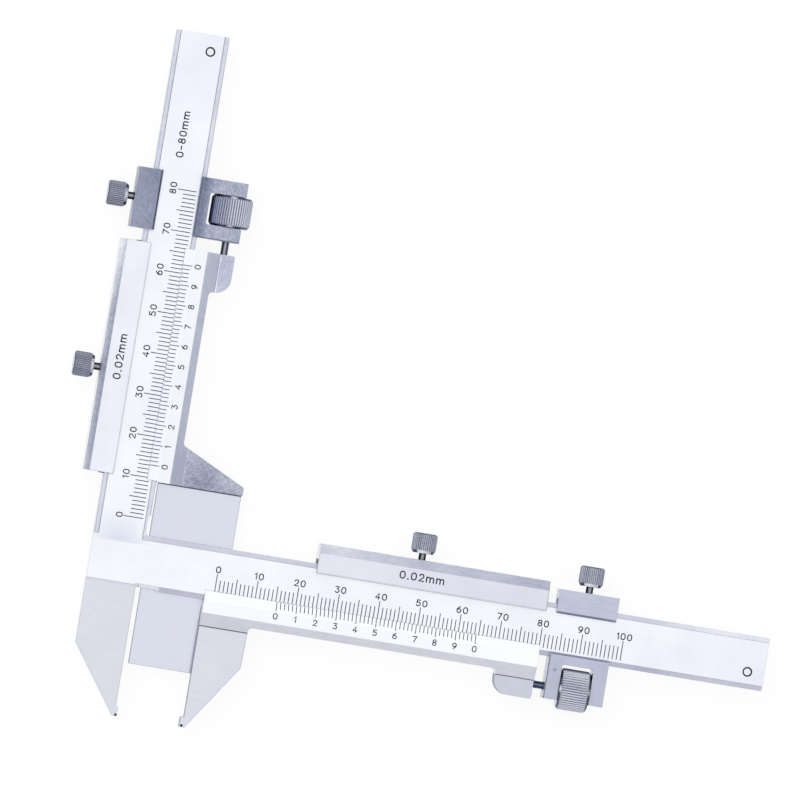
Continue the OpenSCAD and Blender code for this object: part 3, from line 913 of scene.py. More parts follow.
@dataclass
class StrokeFont:
    """Single-line figures as an engraving machine cuts them, on a body one unit high.

    Stroke is a line's width and gap the space between two figures, in parts of the height.
    """

    stroke: float = 0.18
    gap: float = 0.45
    # a corner's mitre reaches no further than one over this
    sharpest: float = 0.55
    # each line runs past its end by this share of half its width
    cap: float = 0.8

    @staticmethod
    def _arc(
        x: float, y: float, rx: float, ry: float, start: float, end: float, steps: int = 12
    ) -> Stroke:
        """Points of an elliptic arc.

        Args:
            x: the middle's place along the line of text.
            y: the middle's height.
            rx: the radius along the line of text.
            ry: the radius upwards.
            start: the first point's angle in degrees.
            end: the last point's angle.
            steps: the number of straight pieces.

        Returns:
            The points.
        """
        angles = [math.radians(start + (end - start) * i / steps) for i in range(steps + 1)]
        return [(x + rx * math.cos(angle), y + ry * math.sin(angle)) for angle in angles]

    def glyph(self, char: str) -> tuple[float, list[Stroke]]:
        """Width and strokes of one figure.

        Args:
            char: a digit, the letter m, a stop or a dash.

        Returns:
            Its width, and one list of points to a stroke.
        """
        arc = self._arc
        shapes = {
            "0": (0.68, [arc(0.34, 0.64, 0.34, 0.36, 0, 180)
                         + arc(0.34, 0.36, 0.34, 0.36, 180, 360) + [(0.68, 0.64)]]),
            "1": (0.26, [[(0.0, 0.78), (0.24, 1.0), (0.24, 0.0)]]),
            "2": (0.66, [arc(0.33, 0.7, 0.31, 0.3, 170, -32) + [(0.0, 0.0), (0.68, 0.0)]]),
            "3": (0.66, [[(0.04, 1.0), (0.62, 1.0), (0.3, 0.62)]
                         + arc(0.32, 0.31, 0.34, 0.31, 85, -150, 10)]),
            "4": (0.72, [[(0.52, 0.0), (0.52, 1.0), (0.0, 0.28), (0.74, 0.28)]]),
            "5": (0.66, [[(0.6, 1.0), (0.1, 1.0), (0.06, 0.57)]
                         + arc(0.31, 0.32, 0.35, 0.32, 130, -150, 10)[1:]]),
            "6": (0.66, [arc(0.62, 0.34, 0.62, 0.66, 100, 178, 8)
                         + arc(0.33, 0.32, 0.33, 0.32, 175, -185, 14)]),
            "7": (0.64, [[(0.0, 1.0), (0.66, 1.0), (0.22, 0.0)]]),
            "8": (0.66, [arc(0.33, 0.76, 0.27, 0.24, -90, 270, 14),
                         arc(0.33, 0.26, 0.33, 0.26, 90, 450, 14)]),
            "9": (0.66, [arc(0.04, 0.66, 0.62, 0.66, -80, -2, 8)
                         + arc(0.33, 0.68, 0.33, 0.32, -5, 355, 14)]),
            "m": (1.04, [[(0.0, 0.0), (0.0, 0.72)]]
                  + [[(x, 0.46)] + arc(x + 0.26, 0.48, 0.26, 0.23, 170, 0, 8) + [(x + 0.52, 0.0)]
                     for x in (0.0, 0.52)]),
            ".": (0.1, [[(0.0, 0.0), (0.1, 0.0)]]),
            "-": (0.5, [[(0.0, 0.42), (0.5, 0.42)]]),
        }
        return shapes[char]

    def outline(self, text: str, height: float) -> list[list[Vector]]:
        """Strokes of a line of text, centred on the origin, in millimetres.

        Args:
            text: the figures.
            height: their height.

        Returns:
            One list of points to a stroke.
        """
        x, strokes = 0.0, []
        for char in text:
            width, lines = self.glyph(char)
            strokes += [[Vector((x + px, py, 0.0)) for px, py in line] for line in lines]
            x += width + self.gap
        middle = Vector(((x - self.gap) / 2, 0.5, 0.0))
        return [[(p - middle) * height for p in line] for line in strokes]

    def ribbon(self, text: str, height: float) -> tuple[list[Vector], list[tuple[int, ...]]]:
        """A flat bar along every stroke of a line of text.

        Args:
            text: the figures.
            height: their height in millimetres.

        Returns:
            Points and faces of closed bars, MARK_DEPTH thick.
        """
        points: list[Vector] = []
        faces: list[tuple[int, ...]] = []
        half = self.stroke * height / 2
        corners = ((1, 0.0), (-1, 0.0), (-1, MARK_DEPTH), (1, MARK_DEPTH))
        for line in self.outline(text, height):
            first = len(points)
            last = len(line) - 1
            for i, p in enumerate(line):
                before = (p - line[i - 1]).normalized() if i else (line[1] - p).normalized()
                after = (line[i + 1] - p).normalized() if i < last else before
                square = Vector((-before.y, before.x, 0.0))
                side = Vector((-(before.y + after.y), before.x + after.x, 0.0))
                side = side.normalized() if side.length > 1e-6 else square
                reach = half / max(self.sharpest, side.dot(square))
                end = -before if i == 0 else after
                past = end * half * self.cap if i in (0, last) else Vector()
                points += [
                    p + past + side * reach * sign + Vector((0.0, 0.0, z)) for sign, z in corners
                ]
            ring = len(corners)
            for a in range(first, first + ring * last, ring):
                for k in range(ring):
                    turn = (k + 1) % ring
                    faces.append((a + k, a + turn, a + ring + turn, a + ring + k))
            a = first + ring * last
            faces += [(first + 3, first + 2, first + 1, first), (a, a + 1, a + 2, a + 3)]
        return points, faces


@dataclass
class Marks:
    """Engraved figures of one piece: where each line of them stands on its beam."""

    name: str
    beam: Beam
    body: str
    slot: str
    height: float
    lines: list[tuple[str, float, float, float]] = field(default_factory=list)
    font: StrokeFont = field(default_factory=StrokeFont)

    def add_line(self, text: str, along: float, across: float, out: float) -> None:
        """Adds figures centred at a place on the beam."""
        self.lines.append((text, along, across, out))

    def build(self, finishes: Finishes) -> None:
        """Makes one mesh of all the lines, reading along the beam, and puts it on its body.

        Args:
            finishes: where the fill comes from.
        """
        points: list[Vector] = []
        faces: list[tuple[int, ...]] = []
        for text, along, across, out in self.lines:
            own, bars = self.font.ribbon(text, self.height)
            # figures' x runs along the beam, their height away from the nut side
            place = Vector((across, along, out + MARK_LIFT))
            base = Matrix.Translation(place) @ Matrix.Rotation(math.pi / 2, 4, "Z")
            start = len(points)
            points += [base @ p for p in own]
            faces += [tuple(start + i for i in bar) for bar in bars]
        mesh = bpy.data.meshes.new(self.name)
        mesh.from_pydata(points, [], faces)
        mesh.transform(self.beam.matrix())
        mesh.materials.append(finishes.get("ink"))
        mesh.validate()
        mount(link(self.name, mesh), self.body)


def new_tree(name: str, inputs: dict[str, str]) -> tuple[Tree, bpy.types.NodeOutputs]:
    """Starts a Geometry Nodes tree that gives one geometry.

    Args:
        name: the tree's name.
        inputs: each input's name and the kind of its socket, without its common beginning.

    Returns:
        The tree, and its inputs' sockets for the nodes inside.
    """
    tree = bpy.data.node_groups.new(name, "GeometryNodeTree")
    for label, kind in inputs.items():
        tree.interface.new_socket(label, in_out="INPUT", socket_type="NodeSocket" + kind)
    tree.interface.new_socket("Geometry", in_out="OUTPUT", socket_type="NodeSocketGeometry")
    return tree, add(tree, "NodeGroupInput").outputs


def end_tree(tree: Tree, geometry: Socket, material: Socket) -> None:
    """Ends a Geometry Nodes tree: makes its instances real and gives them their material.

    Args:
        tree: the tree.
        geometry: what it has made.
        material: the input that holds the material.
    """
    real = add(tree, "GeometryNodeRealizeInstances", {"Geometry": geometry}).outputs[0]
    inputs = {"Geometry": real, "Material": material}
    add(tree, "NodeGroupOutput", {0: add(tree, "GeometryNodeSetMaterial", inputs).outputs[0]})


def graduation_tree() -> Tree:
    """Geometry Nodes tree for a row of graduations whose lines grow every fifth and tenth.

    Returns:
        The tree.
    """
    sizes = dict.fromkeys(("Pitch", "Short", "Fifth", "Tenth", "Width", "Depth"), "Float")
    tree, given = new_tree("graduation_row", {"Count": "Int", **sizes, "Enamel": "Material"})
    step = add(tree, "ShaderNodeCombineXYZ", {"X": given["Pitch"]}).outputs[0]
    inputs = {"Count": given["Count"], "Offset": step}
    row = add(tree, "GeometryNodeMeshLine", inputs).outputs[0]
    index = add(tree, "GeometryNodeInputIndex").outputs[0]
    length = given["Short"]
    for every, longer in ((5.0, given["Fifth"]), (10.0, given["Tenth"])):
        rest = add(tree, "ShaderNodeMath", {0: index, 1: every}, operation="MODULO").outputs[0]
        hit = add(tree, "ShaderNodeMath", {0: rest, 1: 0.5}, operation="LESS_THAN").outputs[0]
        inputs = {0: hit, 1: length, 2: longer}
        length = add(tree, "GeometryNodeSwitch", inputs, input_type="FLOAT").outputs[0]
    inputs = {"X": given["Width"], "Y": length, "Z": given["Depth"]}
    size = add(tree, "ShaderNodeCombineXYZ", inputs).outputs[0]
    bar = add(tree, "GeometryNodeMeshCube", {"Size": (1.0, 1.0, 1.0)}).outputs["Mesh"]
    # each line grows from its root, on the face
    inputs = {"Geometry": bar, "Translation": (0.0, 0.5, 0.5)}
    based = add(tree, "GeometryNodeTransform", inputs).outputs[0]
    inputs = {"Points": row, "Instance": based, "Scale": size}
    placed = add(tree, "GeometryNodeInstanceOnPoints", inputs).outputs[0]
    end_tree(tree, placed, given["Enamel"])
    return tree


def thread_tree(sides: int = 28) -> Tree:
    """Geometry Nodes tree for a threaded rod: a fine cylinder whose skin follows the helix.

    Args:
        sides: the number of faces round the rod.

    Returns:
        The tree.
    """
    sizes = dict.fromkeys(("Length", "Radius", "Pitch", "Depth"), "Float")
    tree, given = new_tree("threaded_rod", {**sizes, "Rings": "Int", "Steel": "Material"})
    inputs = {
        "Vertices": sides,
        "Side Segments": given["Rings"],
        "Radius": given["Radius"],
        "Depth": given["Length"],
    }
    rod = add(tree, "GeometryNodeMeshCylinder", inputs, fill_type="TRIANGLE_FAN").outputs["Mesh"]

    def compute(operation: str, first: Socket, second: object) -> Socket:
        """One step of the sum that follows."""
        inputs = {0: first, 1: second}
        return add(tree, "ShaderNodeMath", inputs, operation=operation).outputs[0]

    place = add(tree, "GeometryNodeInputPosition").outputs[0]
    axes = add(tree, "ShaderNodeSeparateXYZ", {0: place}).outputs
    turn = compute("DIVIDE", compute("ARCTAN2", axes["Y"], axes["X"]), 2 * math.pi)
    rise = compute("DIVIDE", axes["Z"], given["Pitch"])
    # 0 at a crest and 1 at a root, in straight flanks
    flank = compute("PINGPONG", compute("SUBTRACT", rise, turn), 0.5)
    drop = compute("MULTIPLY", compute("MULTIPLY", flank, -2.0), given["Depth"])
    inputs = {0: place, 1: (1.0, 1.0, 0.0)}
    flat = add(tree, "ShaderNodeVectorMath", inputs, operation="MULTIPLY").outputs[0]
    unit = add(tree, "ShaderNodeVectorMath", {0: flat}, operation="NORMALIZE").outputs[0]
    inputs = {0: unit, "Scale": drop}
    move = add(tree, "ShaderNodeVectorMath", inputs, operation="SCALE").outputs[0]
    cut = add(tree, "GeometryNodeSetPosition", {"Geometry": rod, "Offset": move}).outputs[0]
    end_tree(tree, cut, given["Steel"])
    return tree


def grown(name: str, tree: Tree, values: dict[str, object], matrix: Matrix) -> bpy.types.Object:
    """Runs a Geometry Nodes tree and keeps its result as a plain mesh in the row frame.

    Args:
        name: the piece's name.
        tree: the tree.
        values: the tree's inputs by name.
        matrix: the tree's millimetres to the row frame.

    Returns:
        The piece, with no modifier left on it.
    """
    carrier = link(name + "_tree", bpy.data.meshes.new(name + "_seed"))
    modifier = carrier.modifiers.new("grow", "NODES")
    modifier.node_group = tree
    for socket in tree.interface.items_tree:
        if socket.item_type == "SOCKET" and socket.in_out == "INPUT":
            modifier[socket.identifier] = values[socket.name]
    carrier.update_tag()
    bpy.context.view_layer.update()
    graph = bpy.context.evaluated_depsgraph_get()
    mesh = bpy.data.meshes.new_from_object(carrier.evaluated_get(graph), depsgraph=graph)
    bpy.data.objects.remove(carrier)
    mesh.name = name
    mesh.transform(matrix)
    return link(name, mesh)


@dataclass
class Graduation:
    """One row of engraved lines on a beam or on a vernier.

    It begins at start along its beam. Each line grows from root across the beam, and out is the
    root's height. The lengths are those of a short, a fifth and a tenth line, and slope is the
    face's own, in degrees.
    """

    name: str
    beam: Beam
    body: str
    slot: str
    start: float
    count: int
    pitch: float
    lengths: tuple[float, float, float]
    root: float
    out: float
    facing: Facing
    slope: float = 0.0
    width: float = 0.19

    def build(self, tree: Tree, finishes: Finishes) -> None:
        """Grows the row, lays it on its face and puts it on its body.

        Args:
            tree: the tree for a row of graduations.
            finishes: where the fill comes from.
        """
        sign = self.facing.value
        lean = math.radians(self.slope)
        # the row's x runs along the beam, its y across it in the direction of growth
        across = Vector((sign * math.cos(lean), 0.0, math.sin(lean)))
        along = Vector((0.0, -float(sign), 0.0))
        out = along.cross(across)
        start = self.start if sign < 0 else self.start + (self.count - 1) * self.pitch
        place = Vector((self.root, start, self.out)) + out * MARK_LIFT
        columns = [axis.to_4d() for axis in (along, across, out, place)]
        for axis in columns[:3]:
            axis.w = 0.0
        values = {
            "Count": self.count,
            "Pitch": self.pitch,
            **dict(zip(("Short", "Fifth", "Tenth"), self.lengths)),
            "Width": self.width,
            "Depth": MARK_DEPTH,
            "Enamel": finishes.get("ink_tick"),
        }
        base = Matrix(columns).transposed()
        piece = grown(self.name, tree, values, self.beam.matrix() @ base)
        mount(piece, self.body)


@dataclass
class FrameBar:
    """The L-shaped bar: bright lands, ground strips and the thinner fixed jaw."""

    edge: float = 6.5
    strip_z: float = 3.3
    jaw_z: float = 2.7
    low_strip_end: float = -5.0
    blend_y: float = -5.6
    blend_half: float = 0.75
    blend_slope: float = 0.2
    jaw_side_start: float = -7.5
    stops: tuple[tuple[float, float], ...] = ((155.85, -2.4), (2.4, 124.35))
    stop_rim: float = 1.25

    def dress(self, node: bpy.types.Object, finishes: Finishes) -> None:
        """Sorts the bar's faces by height and by which way they look.

        Args:
            node: the bar.
            finishes: where the materials come from.
        """
        faces = Faces(node, Beam.HEIGHT, "side")
        x, y, z = faces.across, faces.along, faces.out
        level = faces.up > SQUARE
        strip = level & (np.abs(z - self.strip_z) < SLACK)
        faces.paint(level & (z > LAND_Z - SLACK), "land")
        faces.paint(strip, "h_strip")
        faces.paint(strip & (y > self.edge), "v_strip")
        faces.paint(strip & (y < self.low_strip_end), "h_low_strip")
        # the blend from land to jaw is ground bright, with no line along it
        blend = (faces.ahead < -self.blend_slope) & (z > self.jaw_z + SLACK / 2)
        faces.paint(blend & (np.abs(y - self.blend_y) < self.blend_half), "blend")
        faces.paint(level & (z < self.jaw_z + SLACK), "fixed_jaw")
        faces.paint(faces.up < -SQUARE, "back")
        # painted shade in the countersinks round the stop pins
        for stop_x, stop_y in self.stops:
            faces.paint(np.hypot(x - stop_x, y - stop_y) < self.stop_rim, "sink")
        # painted shade on the jaw's inner edge and its tip, which look at the tooth
        tip = (faces.ahead < -ASLANT) & (np.abs(faces.side) < ASLANT)
        faces.paint(((faces.side > SQUARE) | tip) & (y < self.jaw_side_start), "dark_side")
        faces.dress(finishes)


@dataclass
class SliderBody:
    """A slider: vernier bevel and flat, band, rail with its chamfer, and jaw or wing and lug."""

    beam: Beam
    # cosine, for the band's foot slopes gently
    level: float = 0.95
    band_end: float = 3.4
    lug_z: float = 2.95
    step_z: float = 3.15
    flank_start: float = 12.7

    def dress(self, node: bpy.types.Object, finishes: Finishes) -> None:
        """Sorts the slider's faces by side, slope and height.

        Args:
            node: the slider.
            finishes: where the materials come from.
        """
        p = self.beam.value
        chordal = self.beam is Beam.CHORDAL
        faces = Faces(node, self.beam, "side")
        z = faces.out
        nut_side = faces.across > 0
        level = faces.up > self.level
        sloped = (faces.up > ASLANT) & ~level
        to_nut, from_nut = faces.side > ASLANT, faces.side < -ASLANT
        high = level & (z > SLIDER_Z - SLACK)
        faces.paint(sloped & nut_side & from_nut, p + "_vernier")
        faces.paint(high & nut_side, p + "_flat")
        faces.paint(sloped & nut_side & to_nut, p + "_band")
        faces.paint(high & ~nut_side, p + "_rail")
        faces.paint(sloped & ~nut_side & from_nut, p + "_rail_bevel")
        faces.paint(level & nut_side & (z < self.band_end), "jaw" if chordal else "wing")
        faces.paint(level & nut_side & (np.abs(z - self.lug_z) < SLACK), p + "_lug")
        faces.paint(faces.up < -SQUARE, "back")
        # the jaw's or wing's own sides; the jaw's are painted in shade
        flank = (np.abs(faces.up) < STEEP) & (faces.across > self.flank_start)
        faces.paint(flank, "dark_side" if chordal else "side")
        # the window's edge on the rail, and the small step where the band ends
        faces.paint(~nut_side & to_nut & (z > self.band_end), "lip")
        step = sloped & nut_side & to_nut & (z < self.step_z)
        faces.paint(step, "step" if chordal else "v_band")
        faces.dress(finishes)


@dataclass
class ClampBody:
    """A clamp: slant-ground face, sides, and shaded bevels beside the scale."""

    beam: Beam
    top: float = 5.1
    bevel: float = 0.6

    def dress(self, node: bpy.types.Object, finishes: Finishes) -> None:
        """Sorts the clamp's faces into its ground face, its edges and its back.

        Args:
            node: the clamp.
            finishes: where the materials come from.
        """
        p = self.beam.value
        faces = Faces(node, self.beam, p + "_clamp_side")
        face = (faces.up > SQUARE) & (faces.out > self.top - SLACK)
        faces.paint(face, p + "_clamp")
        faces.paint(face & (faces.across < 0), p + "_clamp_lock")
        faces.paint(faces.up < -SQUARE, "back")
        sloped = (faces.up > ASLANT) & (np.abs(faces.side) > ASLANT)
        faces.paint(sloped & (faces.out > self.top - self.bevel), p + "_clamp_bevel")
        faces.dress(finishes)


@dataclass
class ThumbScrew:
    """A thumb screw across its beam: knurled head, turned neck and end."""

    beam: Beam
    axis_out: float = 1.75
    neck_radius: float = 1.3

    def dress(self, node: bpy.types.Object, finishes: Finishes) -> None:
        """Sorts the screw's faces by radius and by which way they look along it.

        Args:
            node: the screw.
            finishes: where the materials come from.
        """
        faces = Faces(node, self.beam, "head")
        # the chamfer toward the neck carries the painted glint, the outer one painted shade
        faces.paint(faces.side > ASLANT, "head_end")
        faces.paint(faces.side < -ASLANT, "head_top")
        faces.paint(faces.side < -SQUARE, "head_face")
        faces.paint(faces.reach(self.axis_out) < self.neck_radius, "turned")
        faces.dress(finishes)


@dataclass
class AdjustingNut:
    """The fine adjustment's nut: knurled round, polished chamfers and turned ends."""

    beam: Beam

    def dress(self, node: bpy.types.Object, finishes: Finishes) -> None:
        """Sorts the nut's faces by how squarely they look along its axis.

        Args:
            node: the nut.
            finishes: where the materials come from.
        """
        faces = Faces(node, self.beam, "nut")
        # the chamfers carry the painted glint and the painted shade beside it
        faces.paint(np.abs(faces.ahead) > ASLANT, "chamfer")
        faces.paint(np.abs(faces.ahead) > SQUARE, "head_face")
        faces.dress(finishes)


@dataclass
class Stud:
    """Threaded stud of the fine adjustment, M2 by 0.4, on the nut's axis.

    End is the slider's end along the beam. The stud is held from seat behind it, in the lug, and
    stands free beyond it.
    """

    beam: Beam
    end: float
    radius: float = 1.0
    pitch: float = 0.4
    depth: float = 0.22
    seat: float = 6.45
    free: float = 14.5
    across: float = 13.75
    out: float = 1.3
    rings_per_turn: int = 6

    def build(self, tree: Tree, finishes: Finishes) -> None:
        """Grows the thread and stands it in for the plain rod.

        Args:
            tree: the tree for a threaded rod.
            finishes: where the steel comes from.
        """
        p = self.beam.value
        length = self.seat + self.free
        middle = self.end + (self.free - self.seat) / 2
        base = Matrix.Translation((self.across, middle, self.out))
        base = base @ Matrix.Rotation(-math.pi / 2, 4, "X")
        values = {
            "Length": length,
            "Radius": self.radius,
            "Pitch": self.pitch,
            "Depth": self.depth,
            "Rings": round(length / self.pitch * self.rings_per_turn),
            "Steel": finishes.get(p + "_thread"),
        }
        piece = grown(p + "_stud_thread", tree, values, self.beam.matrix() @ base)
        piece.data.shade_flat()
        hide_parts(p + "_stud")
        mount(piece, p + "_slider")


@dataclass
class Scale:
    """A beam's main scale and vernier with their figures, placed by the ticks' own millimetres.

    Zero is the main scale's, along the beam, span its last millimetre, and reading what the
    vernier's zero shows on it. A row's lines are its short, fifth and tenth ones.
    """

    beam: Beam
    zero: float
    span: int
    reading: float
    main_pitch: float = 1.0
    main_lines: tuple[float, float, float] = (3.3, 4.2, 4.75)
    main_root: float = 4.7
    # a figure's height, and the lines from one to the next
    main_figure: float = 1.42
    main_figure_step: int = 10
    # the main figures stand this far past their ticks
    main_figure_shift: float = 0.1
    main_figure_across: float = -1.12
    vernier_pitch: float = 0.98
    vernier_count: int = 51
    vernier_lines: tuple[float, float, float] = (1.72, 2.22, 2.22)
    vernier_root: float = 4.21
    vernier_z: float = 3.836
    vernier_figure: float = 1.32
    vernier_figure_step: int = 5
    vernier_figure_across: float = 7.72
    bevel_slope: float = math.degrees(math.atan2(1.47, 2.5))

    def build(self, tree: Tree, finishes: Finishes) -> None:
        """Makes both rows of lines and their figures.

        Args:
            tree: the tree for a row of graduations.
            finishes: where the fill comes from.
        """
        p = self.beam.value
        frame = ("frame", "satin_chrome_frame")
        slider = (p + "_slider", "satin_chrome_slider")
        Graduation(
            p + "_main_graduation", self.beam, *frame, start=self.zero, count=self.span + 1,
            pitch=self.main_pitch, lengths=self.main_lines, root=self.main_root, out=LAND_Z,
            facing=Facing.FROM_NUT_SIDE,
        ).build(tree, finishes)
        # the lines' lengths are seen from the front, and the bevel slopes away
        run = 1 / math.cos(math.radians(self.bevel_slope))
        start = self.zero + self.reading
        Graduation(
            p + "_vernier_graduation", self.beam, *slider, start=start,
            count=self.vernier_count, pitch=self.vernier_pitch,
            lengths=tuple(length * run for length in self.vernier_lines),
            root=self.vernier_root, out=self.vernier_z, facing=Facing.TO_NUT_SIDE,
            slope=self.bevel_slope,
        ).build(tree, finishes)
        figures = Marks(p + "_main_figures", self.beam, *frame, self.main_figure)
        for value in range(0, self.span + 1, self.main_figure_step):
            along = self.zero + value + self.main_figure_shift
            figures.add_line(str(value), along, self.main_figure_across, LAND_Z)
        figures.build(finishes)
        small = Marks(p + "_vernier_figures", self.beam, *slider, self.vernier_figure)
        for i, line in enumerate(range(0, self.vernier_count, self.vernier_figure_step)):
            along = start + line * self.vernier_pitch
            small.add_line(str(i % 10), along, self.vernier_figure_across, SLIDER_Z)
        small.build(finishes)


@dataclass
class Caliper:
    """The whole instrument: dresses the CAD nodes and adds what the CAD leaves to this script."""

    nodes: dict[str, bpy.types.Object]
    finishes: Finishes = field(default_factory=Finishes)
    slider_end: tuple[tuple[Beam, float], ...] = ((Beam.CHORDAL, 104.88), (Beam.HEIGHT, 76.5))
    scales: tuple[Scale, ...] = (
        Scale(Beam.CHORDAL, zero=24.75, span=100, reading=15.33),
        Scale(Beam.HEIGHT, zero=10.38, span=80, reading=13.1),
    )
    # what stands on the sliders' rails and at the end of the height beam: its height, and its
    # middle along and across the beam
    division_height: float = 1.66
    division_places: tuple[tuple[Beam, float, float], ...] = (
        (Beam.CHORDAL, 73.75, -7.25),
        (Beam.HEIGHT, 48.1, -7.35),
    )
    range_height: float = 1.6
    range_place: tuple[float, float] = (103.6, -0.9)

    def plain(self, node: str, finish: str) -> None:
        """Gives one finish to a whole node."""
        Faces(self.nodes[node], Beam.HEIGHT, finish).dress(self.finishes)

    def dress_frame(self) -> None:
        """Dresses the bar, its stop pins and the tongue behind it."""
        FrameBar().dress(self.nodes["frame"], self.finishes)
        self.plain("stop_pins", "pin")
        tongue = Faces(self.nodes["tongue"], Beam.HEIGHT, "tongue")
        # the tongue's sides are painted in shade
        tongue.paint(np.abs(tongue.up) < STEEP, "dark_side")
        tongue.dress(self.finishes)
        self.plain("tongue_screws", "blued")

    def dress_beam(self, beam: Beam) -> None:
        """Dresses the pieces that slide on one beam.

        Args:
            beam: the beam.
        """
        p = beam.value
        SliderBody(beam).dress(self.nodes[p + "_slider"], self.finishes)
        ClampBody(beam).dress(self.nodes[p + "_clamp"], self.finishes)
        AdjustingNut(beam).dress(self.nodes[p + "_nut"], self.finishes)
        for screw in ("_lock_screw", "_clamp_screw"):
            ThumbScrew(beam).dress(self.nodes[p + screw], self.finishes)
        for node, finish in (("_gib", "bronze"), ("_clamp_gib", "bronze"), ("_stud_pin", "pin")):
            self.plain(p + node, finish)

    def engrave_words(self) -> None:
        """Engraves the division on both sliders' rails and the range on the height beam."""
        size, slot = self.division_height, "satin_chrome_slider"
        for beam, along, across in self.division_places:
            p = beam.value
            marks = Marks(p + "_division_figures", beam, p + "_slider", slot, size)
            marks.add_line("0.02mm", along, across, SLIDER_Z)
            marks.build(self.finishes)
        size, slot = self.range_height, "satin_chrome_frame"
        marks = Marks("v_range_figures", Beam.HEIGHT, "frame", slot, size)
        marks.add_line("0-80mm", *self.range_place, LAND_Z)
        marks.build(self.finishes)

    def build(self) -> None:
        """Dresses every node and makes the threads, the scales and the words."""
        self.dress_frame()
        threads = thread_tree()
        for beam, end in self.slider_end:
            self.dress_beam(beam)
            Stud(beam, end).build(threads, self.finishes)
        graduations = graduation_tree()
        for scale in self.scales:
            scale.build(graduations, self.finishes)
        self.engrave_words()


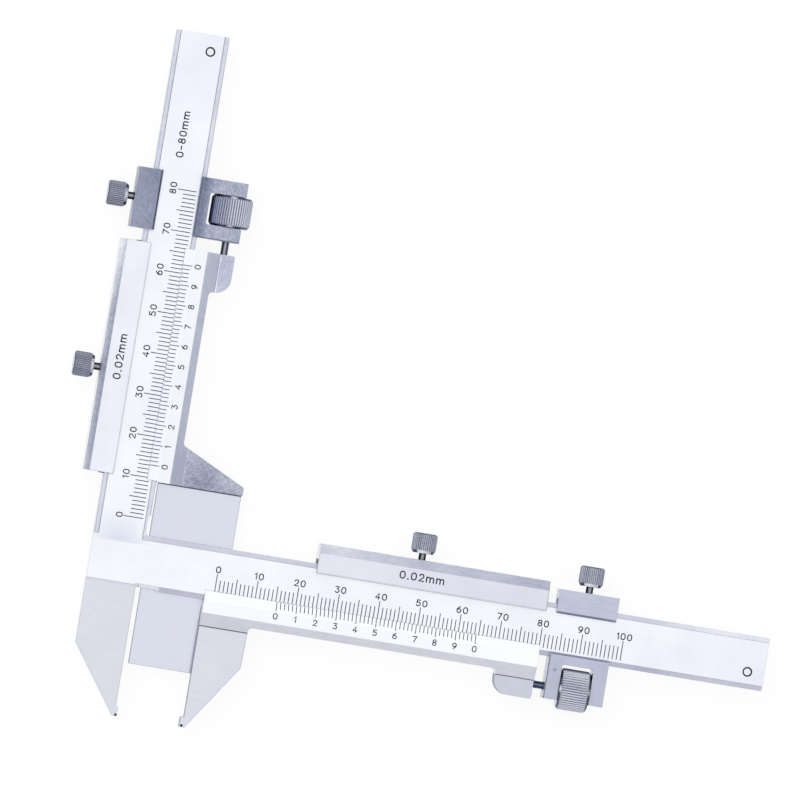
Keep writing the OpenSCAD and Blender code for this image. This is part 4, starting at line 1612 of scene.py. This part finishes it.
@dataclass
class Studio:
    """White table, pale room and one soft lamp, with the camera at the photograph's angle.

    The table's height, the camera's distance and target are millimetres in the drawing frame,
    and the angles degrees. The lamp's place and aim and the table's size are metres in the row
    frame.
    """

    floor_z: float = -5.12
    floor_size: float = 9.0
    # share of the table's white that camera and metal see without its shadow
    floor_glow: float = 0.9
    # the room's level by height, from the horizon up
    room_levels: tuple[tuple[float, float], ...] = (
        (0.0, 0.8), (0.12, 0.7), (0.35, 0.84), (0.6, 0.92), (0.86, 1.0), (1.0, 1.0),
    )
    # windows on the upper left make that side of the room brighter
    window_way: tuple[float, float, float] = (-0.3, 0.2, 0.0)
    room_level: float = 1.075
    # never much brighter than white, so that flat steel keeps its tone from every side
    brightest: float = 1.09
    lamp_place: tuple[float, float, float] = (-0.9, 0.9, 1.6)
    lamp_aim: tuple[float, float, float] = (0.06, 0.08, 0.0)
    lamp_size: float = 1.1
    lamp_watts: float = 9.0
    lean_x: float = 5.3
    lean_y: float = 0.6
    roll: float = 9.3791
    distance: float = 4000.0
    focal_px: float = 16511.4
    frame_px: float = 800.0
    # width in millimetres, and what is nearest and furthest in metres
    sensor: float = 36.0
    clip: tuple[float, float] = (0.5, 40.0)
    target: tuple[float, float, float] = (61.901, 48.880, 0.0)

    def room(self) -> None:
        """World light: white overhead, dimmer towards the horizon, and brighter to one side."""
        world = bpy.data.worlds.new("pale_room")
        bpy.context.scene.world = world
        world.use_nodes = True
        tree = world.node_tree
        tree.nodes.clear()
        way = add(tree, "ShaderNodeTexCoord").outputs["Generated"]
        height = add(tree, "ShaderNodeSeparateXYZ", {0: way}).outputs["Z"]
        ramp = add(tree, "ShaderNodeValToRGB", {"Fac": height})
        elements = ramp.color_ramp.elements
        while len(elements) < len(self.room_levels):
            elements.new(0.5)
        for element, (place, level) in zip(elements, self.room_levels):
            element.position = place
            element.color = (level, level, level, 1.0)
        inputs = {0: way, 1: self.window_way}
        side = add(tree, "ShaderNodeVectorMath", inputs, operation="DOT_PRODUCT").outputs["Value"]
        level = ramp.outputs["Color"]
        inputs = {0: side, 1: self.room_level}
        share = add(tree, "ShaderNodeMath", inputs, operation="ADD").outputs[0]
        inputs = {0: share, 1: level}
        level = add(tree, "ShaderNodeMath", inputs, operation="MULTIPLY").outputs[0]
        inputs = {0: level, 1: self.brightest}
        level = add(tree, "ShaderNodeMath", inputs, operation="MINIMUM").outputs[0]
        inputs = {"Color": linear("ffffff"), "Strength": level}
        back = add(tree, "ShaderNodeBackground", inputs)
        add(tree, "ShaderNodeOutputWorld", {"Surface": back.outputs[0]})

    def lamp(self) -> None:
        """One square soft box, aimed at the instrument."""
        data = bpy.data.lights.new("soft_box", "AREA")
        data.shape = "SQUARE"
        data.size = self.lamp_size
        data.energy = self.lamp_watts
        box = bpy.data.objects.new("soft_box", data)
        bpy.context.scene.collection.objects.link(box)
        box.location = self.lamp_place
        # steel mirrors the room only, or its flat faces would burn out from the lamp's far side
        box.visible_glossy = False
        aim = Vector(self.lamp_aim) - Vector(self.lamp_place)
        box.rotation_euler = aim.to_track_quat("-Z", "Y").to_euler()

    def floor(self) -> None:
        """A white table top that keeps the shadow and shows white to camera and metal alike."""
        half = self.floor_size / 2
        mesh = bpy.data.meshes.new("table_top")
        square = ((-half, -half), (half, -half), (half, half), (-half, half))
        mesh.from_pydata([(x, y, self.floor_z * MM) for x, y in square], [], [(0, 1, 2, 3)])
        material = bpy.data.materials.new("white_table")
        material.use_nodes = True
        tree = material.node_tree
        tree.nodes.clear()
        matt = add(tree, "ShaderNodeBsdfDiffuse", {"Color": linear("fdfdfe")})
        glow = add(tree, "ShaderNodeEmission", {"Color": linear("ffffff"), "Strength": 1.0})
        rays = add(tree, "ShaderNodeLightPath").outputs
        seen = rays["Is Camera Ray"]
        for ray in ("Is Glossy Ray", "Is Transmission Ray"):
            inputs = {0: seen, 1: rays[ray]}
            seen = add(tree, "ShaderNodeMath", inputs, operation="MAXIMUM").outputs[0]
        inputs = {0: seen, 1: self.floor_glow}
        share = add(tree, "ShaderNodeMath", inputs, operation="MULTIPLY").outputs[0]
        inputs = {0: share, 1: matt.outputs[0], 2: glow.outputs[0]}
        mixed = add(tree, "ShaderNodeMixShader", inputs)
        add(tree, "ShaderNodeOutputMaterial", {"Surface": mixed.outputs[0]})
        mesh.materials.append(material)
        link("table_top", mesh)

    def camera(self) -> None:
        """A long lens over the instrument, leaning a little to its left."""
        x, y = (-math.sin(math.radians(lean)) for lean in (self.lean_x, self.lean_y))
        back = Vector((x, y, math.sqrt(1 - x**2 - y**2)))
        right = Vector((0.0, 1.0, 0.0)).cross(back).normalized()
        place = (Vector(self.target) + back * self.distance - ROW_ORIGIN) * MM
        data = bpy.data.cameras.new("long_lens")
        data.sensor_width = self.sensor
        data.lens = self.focal_px * data.sensor_width / self.frame_px
        data.clip_start, data.clip_end = self.clip
        eye = bpy.data.objects.new("long_lens", data)
        bpy.context.scene.collection.objects.link(eye)
        upright = Matrix((right, back.cross(right), back)).transposed().to_4x4()
        roll = Matrix.Rotation(math.radians(self.roll), 4, "Z")
        eye.matrix_world = Matrix.Translation(place) @ upright @ roll
        bpy.context.scene.camera = eye

    def build(self) -> None:
        """Sets the room, the lamp, the table and the camera."""
        self.room()
        self.lamp()
        self.floor()
        self.camera()
        bpy.context.scene.view_settings.view_transform = "Standard"


def main() -> None:
    """Loads the frame, dresses the instrument and sets the studio."""
    logging.basicConfig(level=logging.INFO, format="%(name)s: %(message)s")
    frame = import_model()
    Caliper(frame["nodes"]).build()
    Studio().build()


if __name__ == "__main__":
    main()
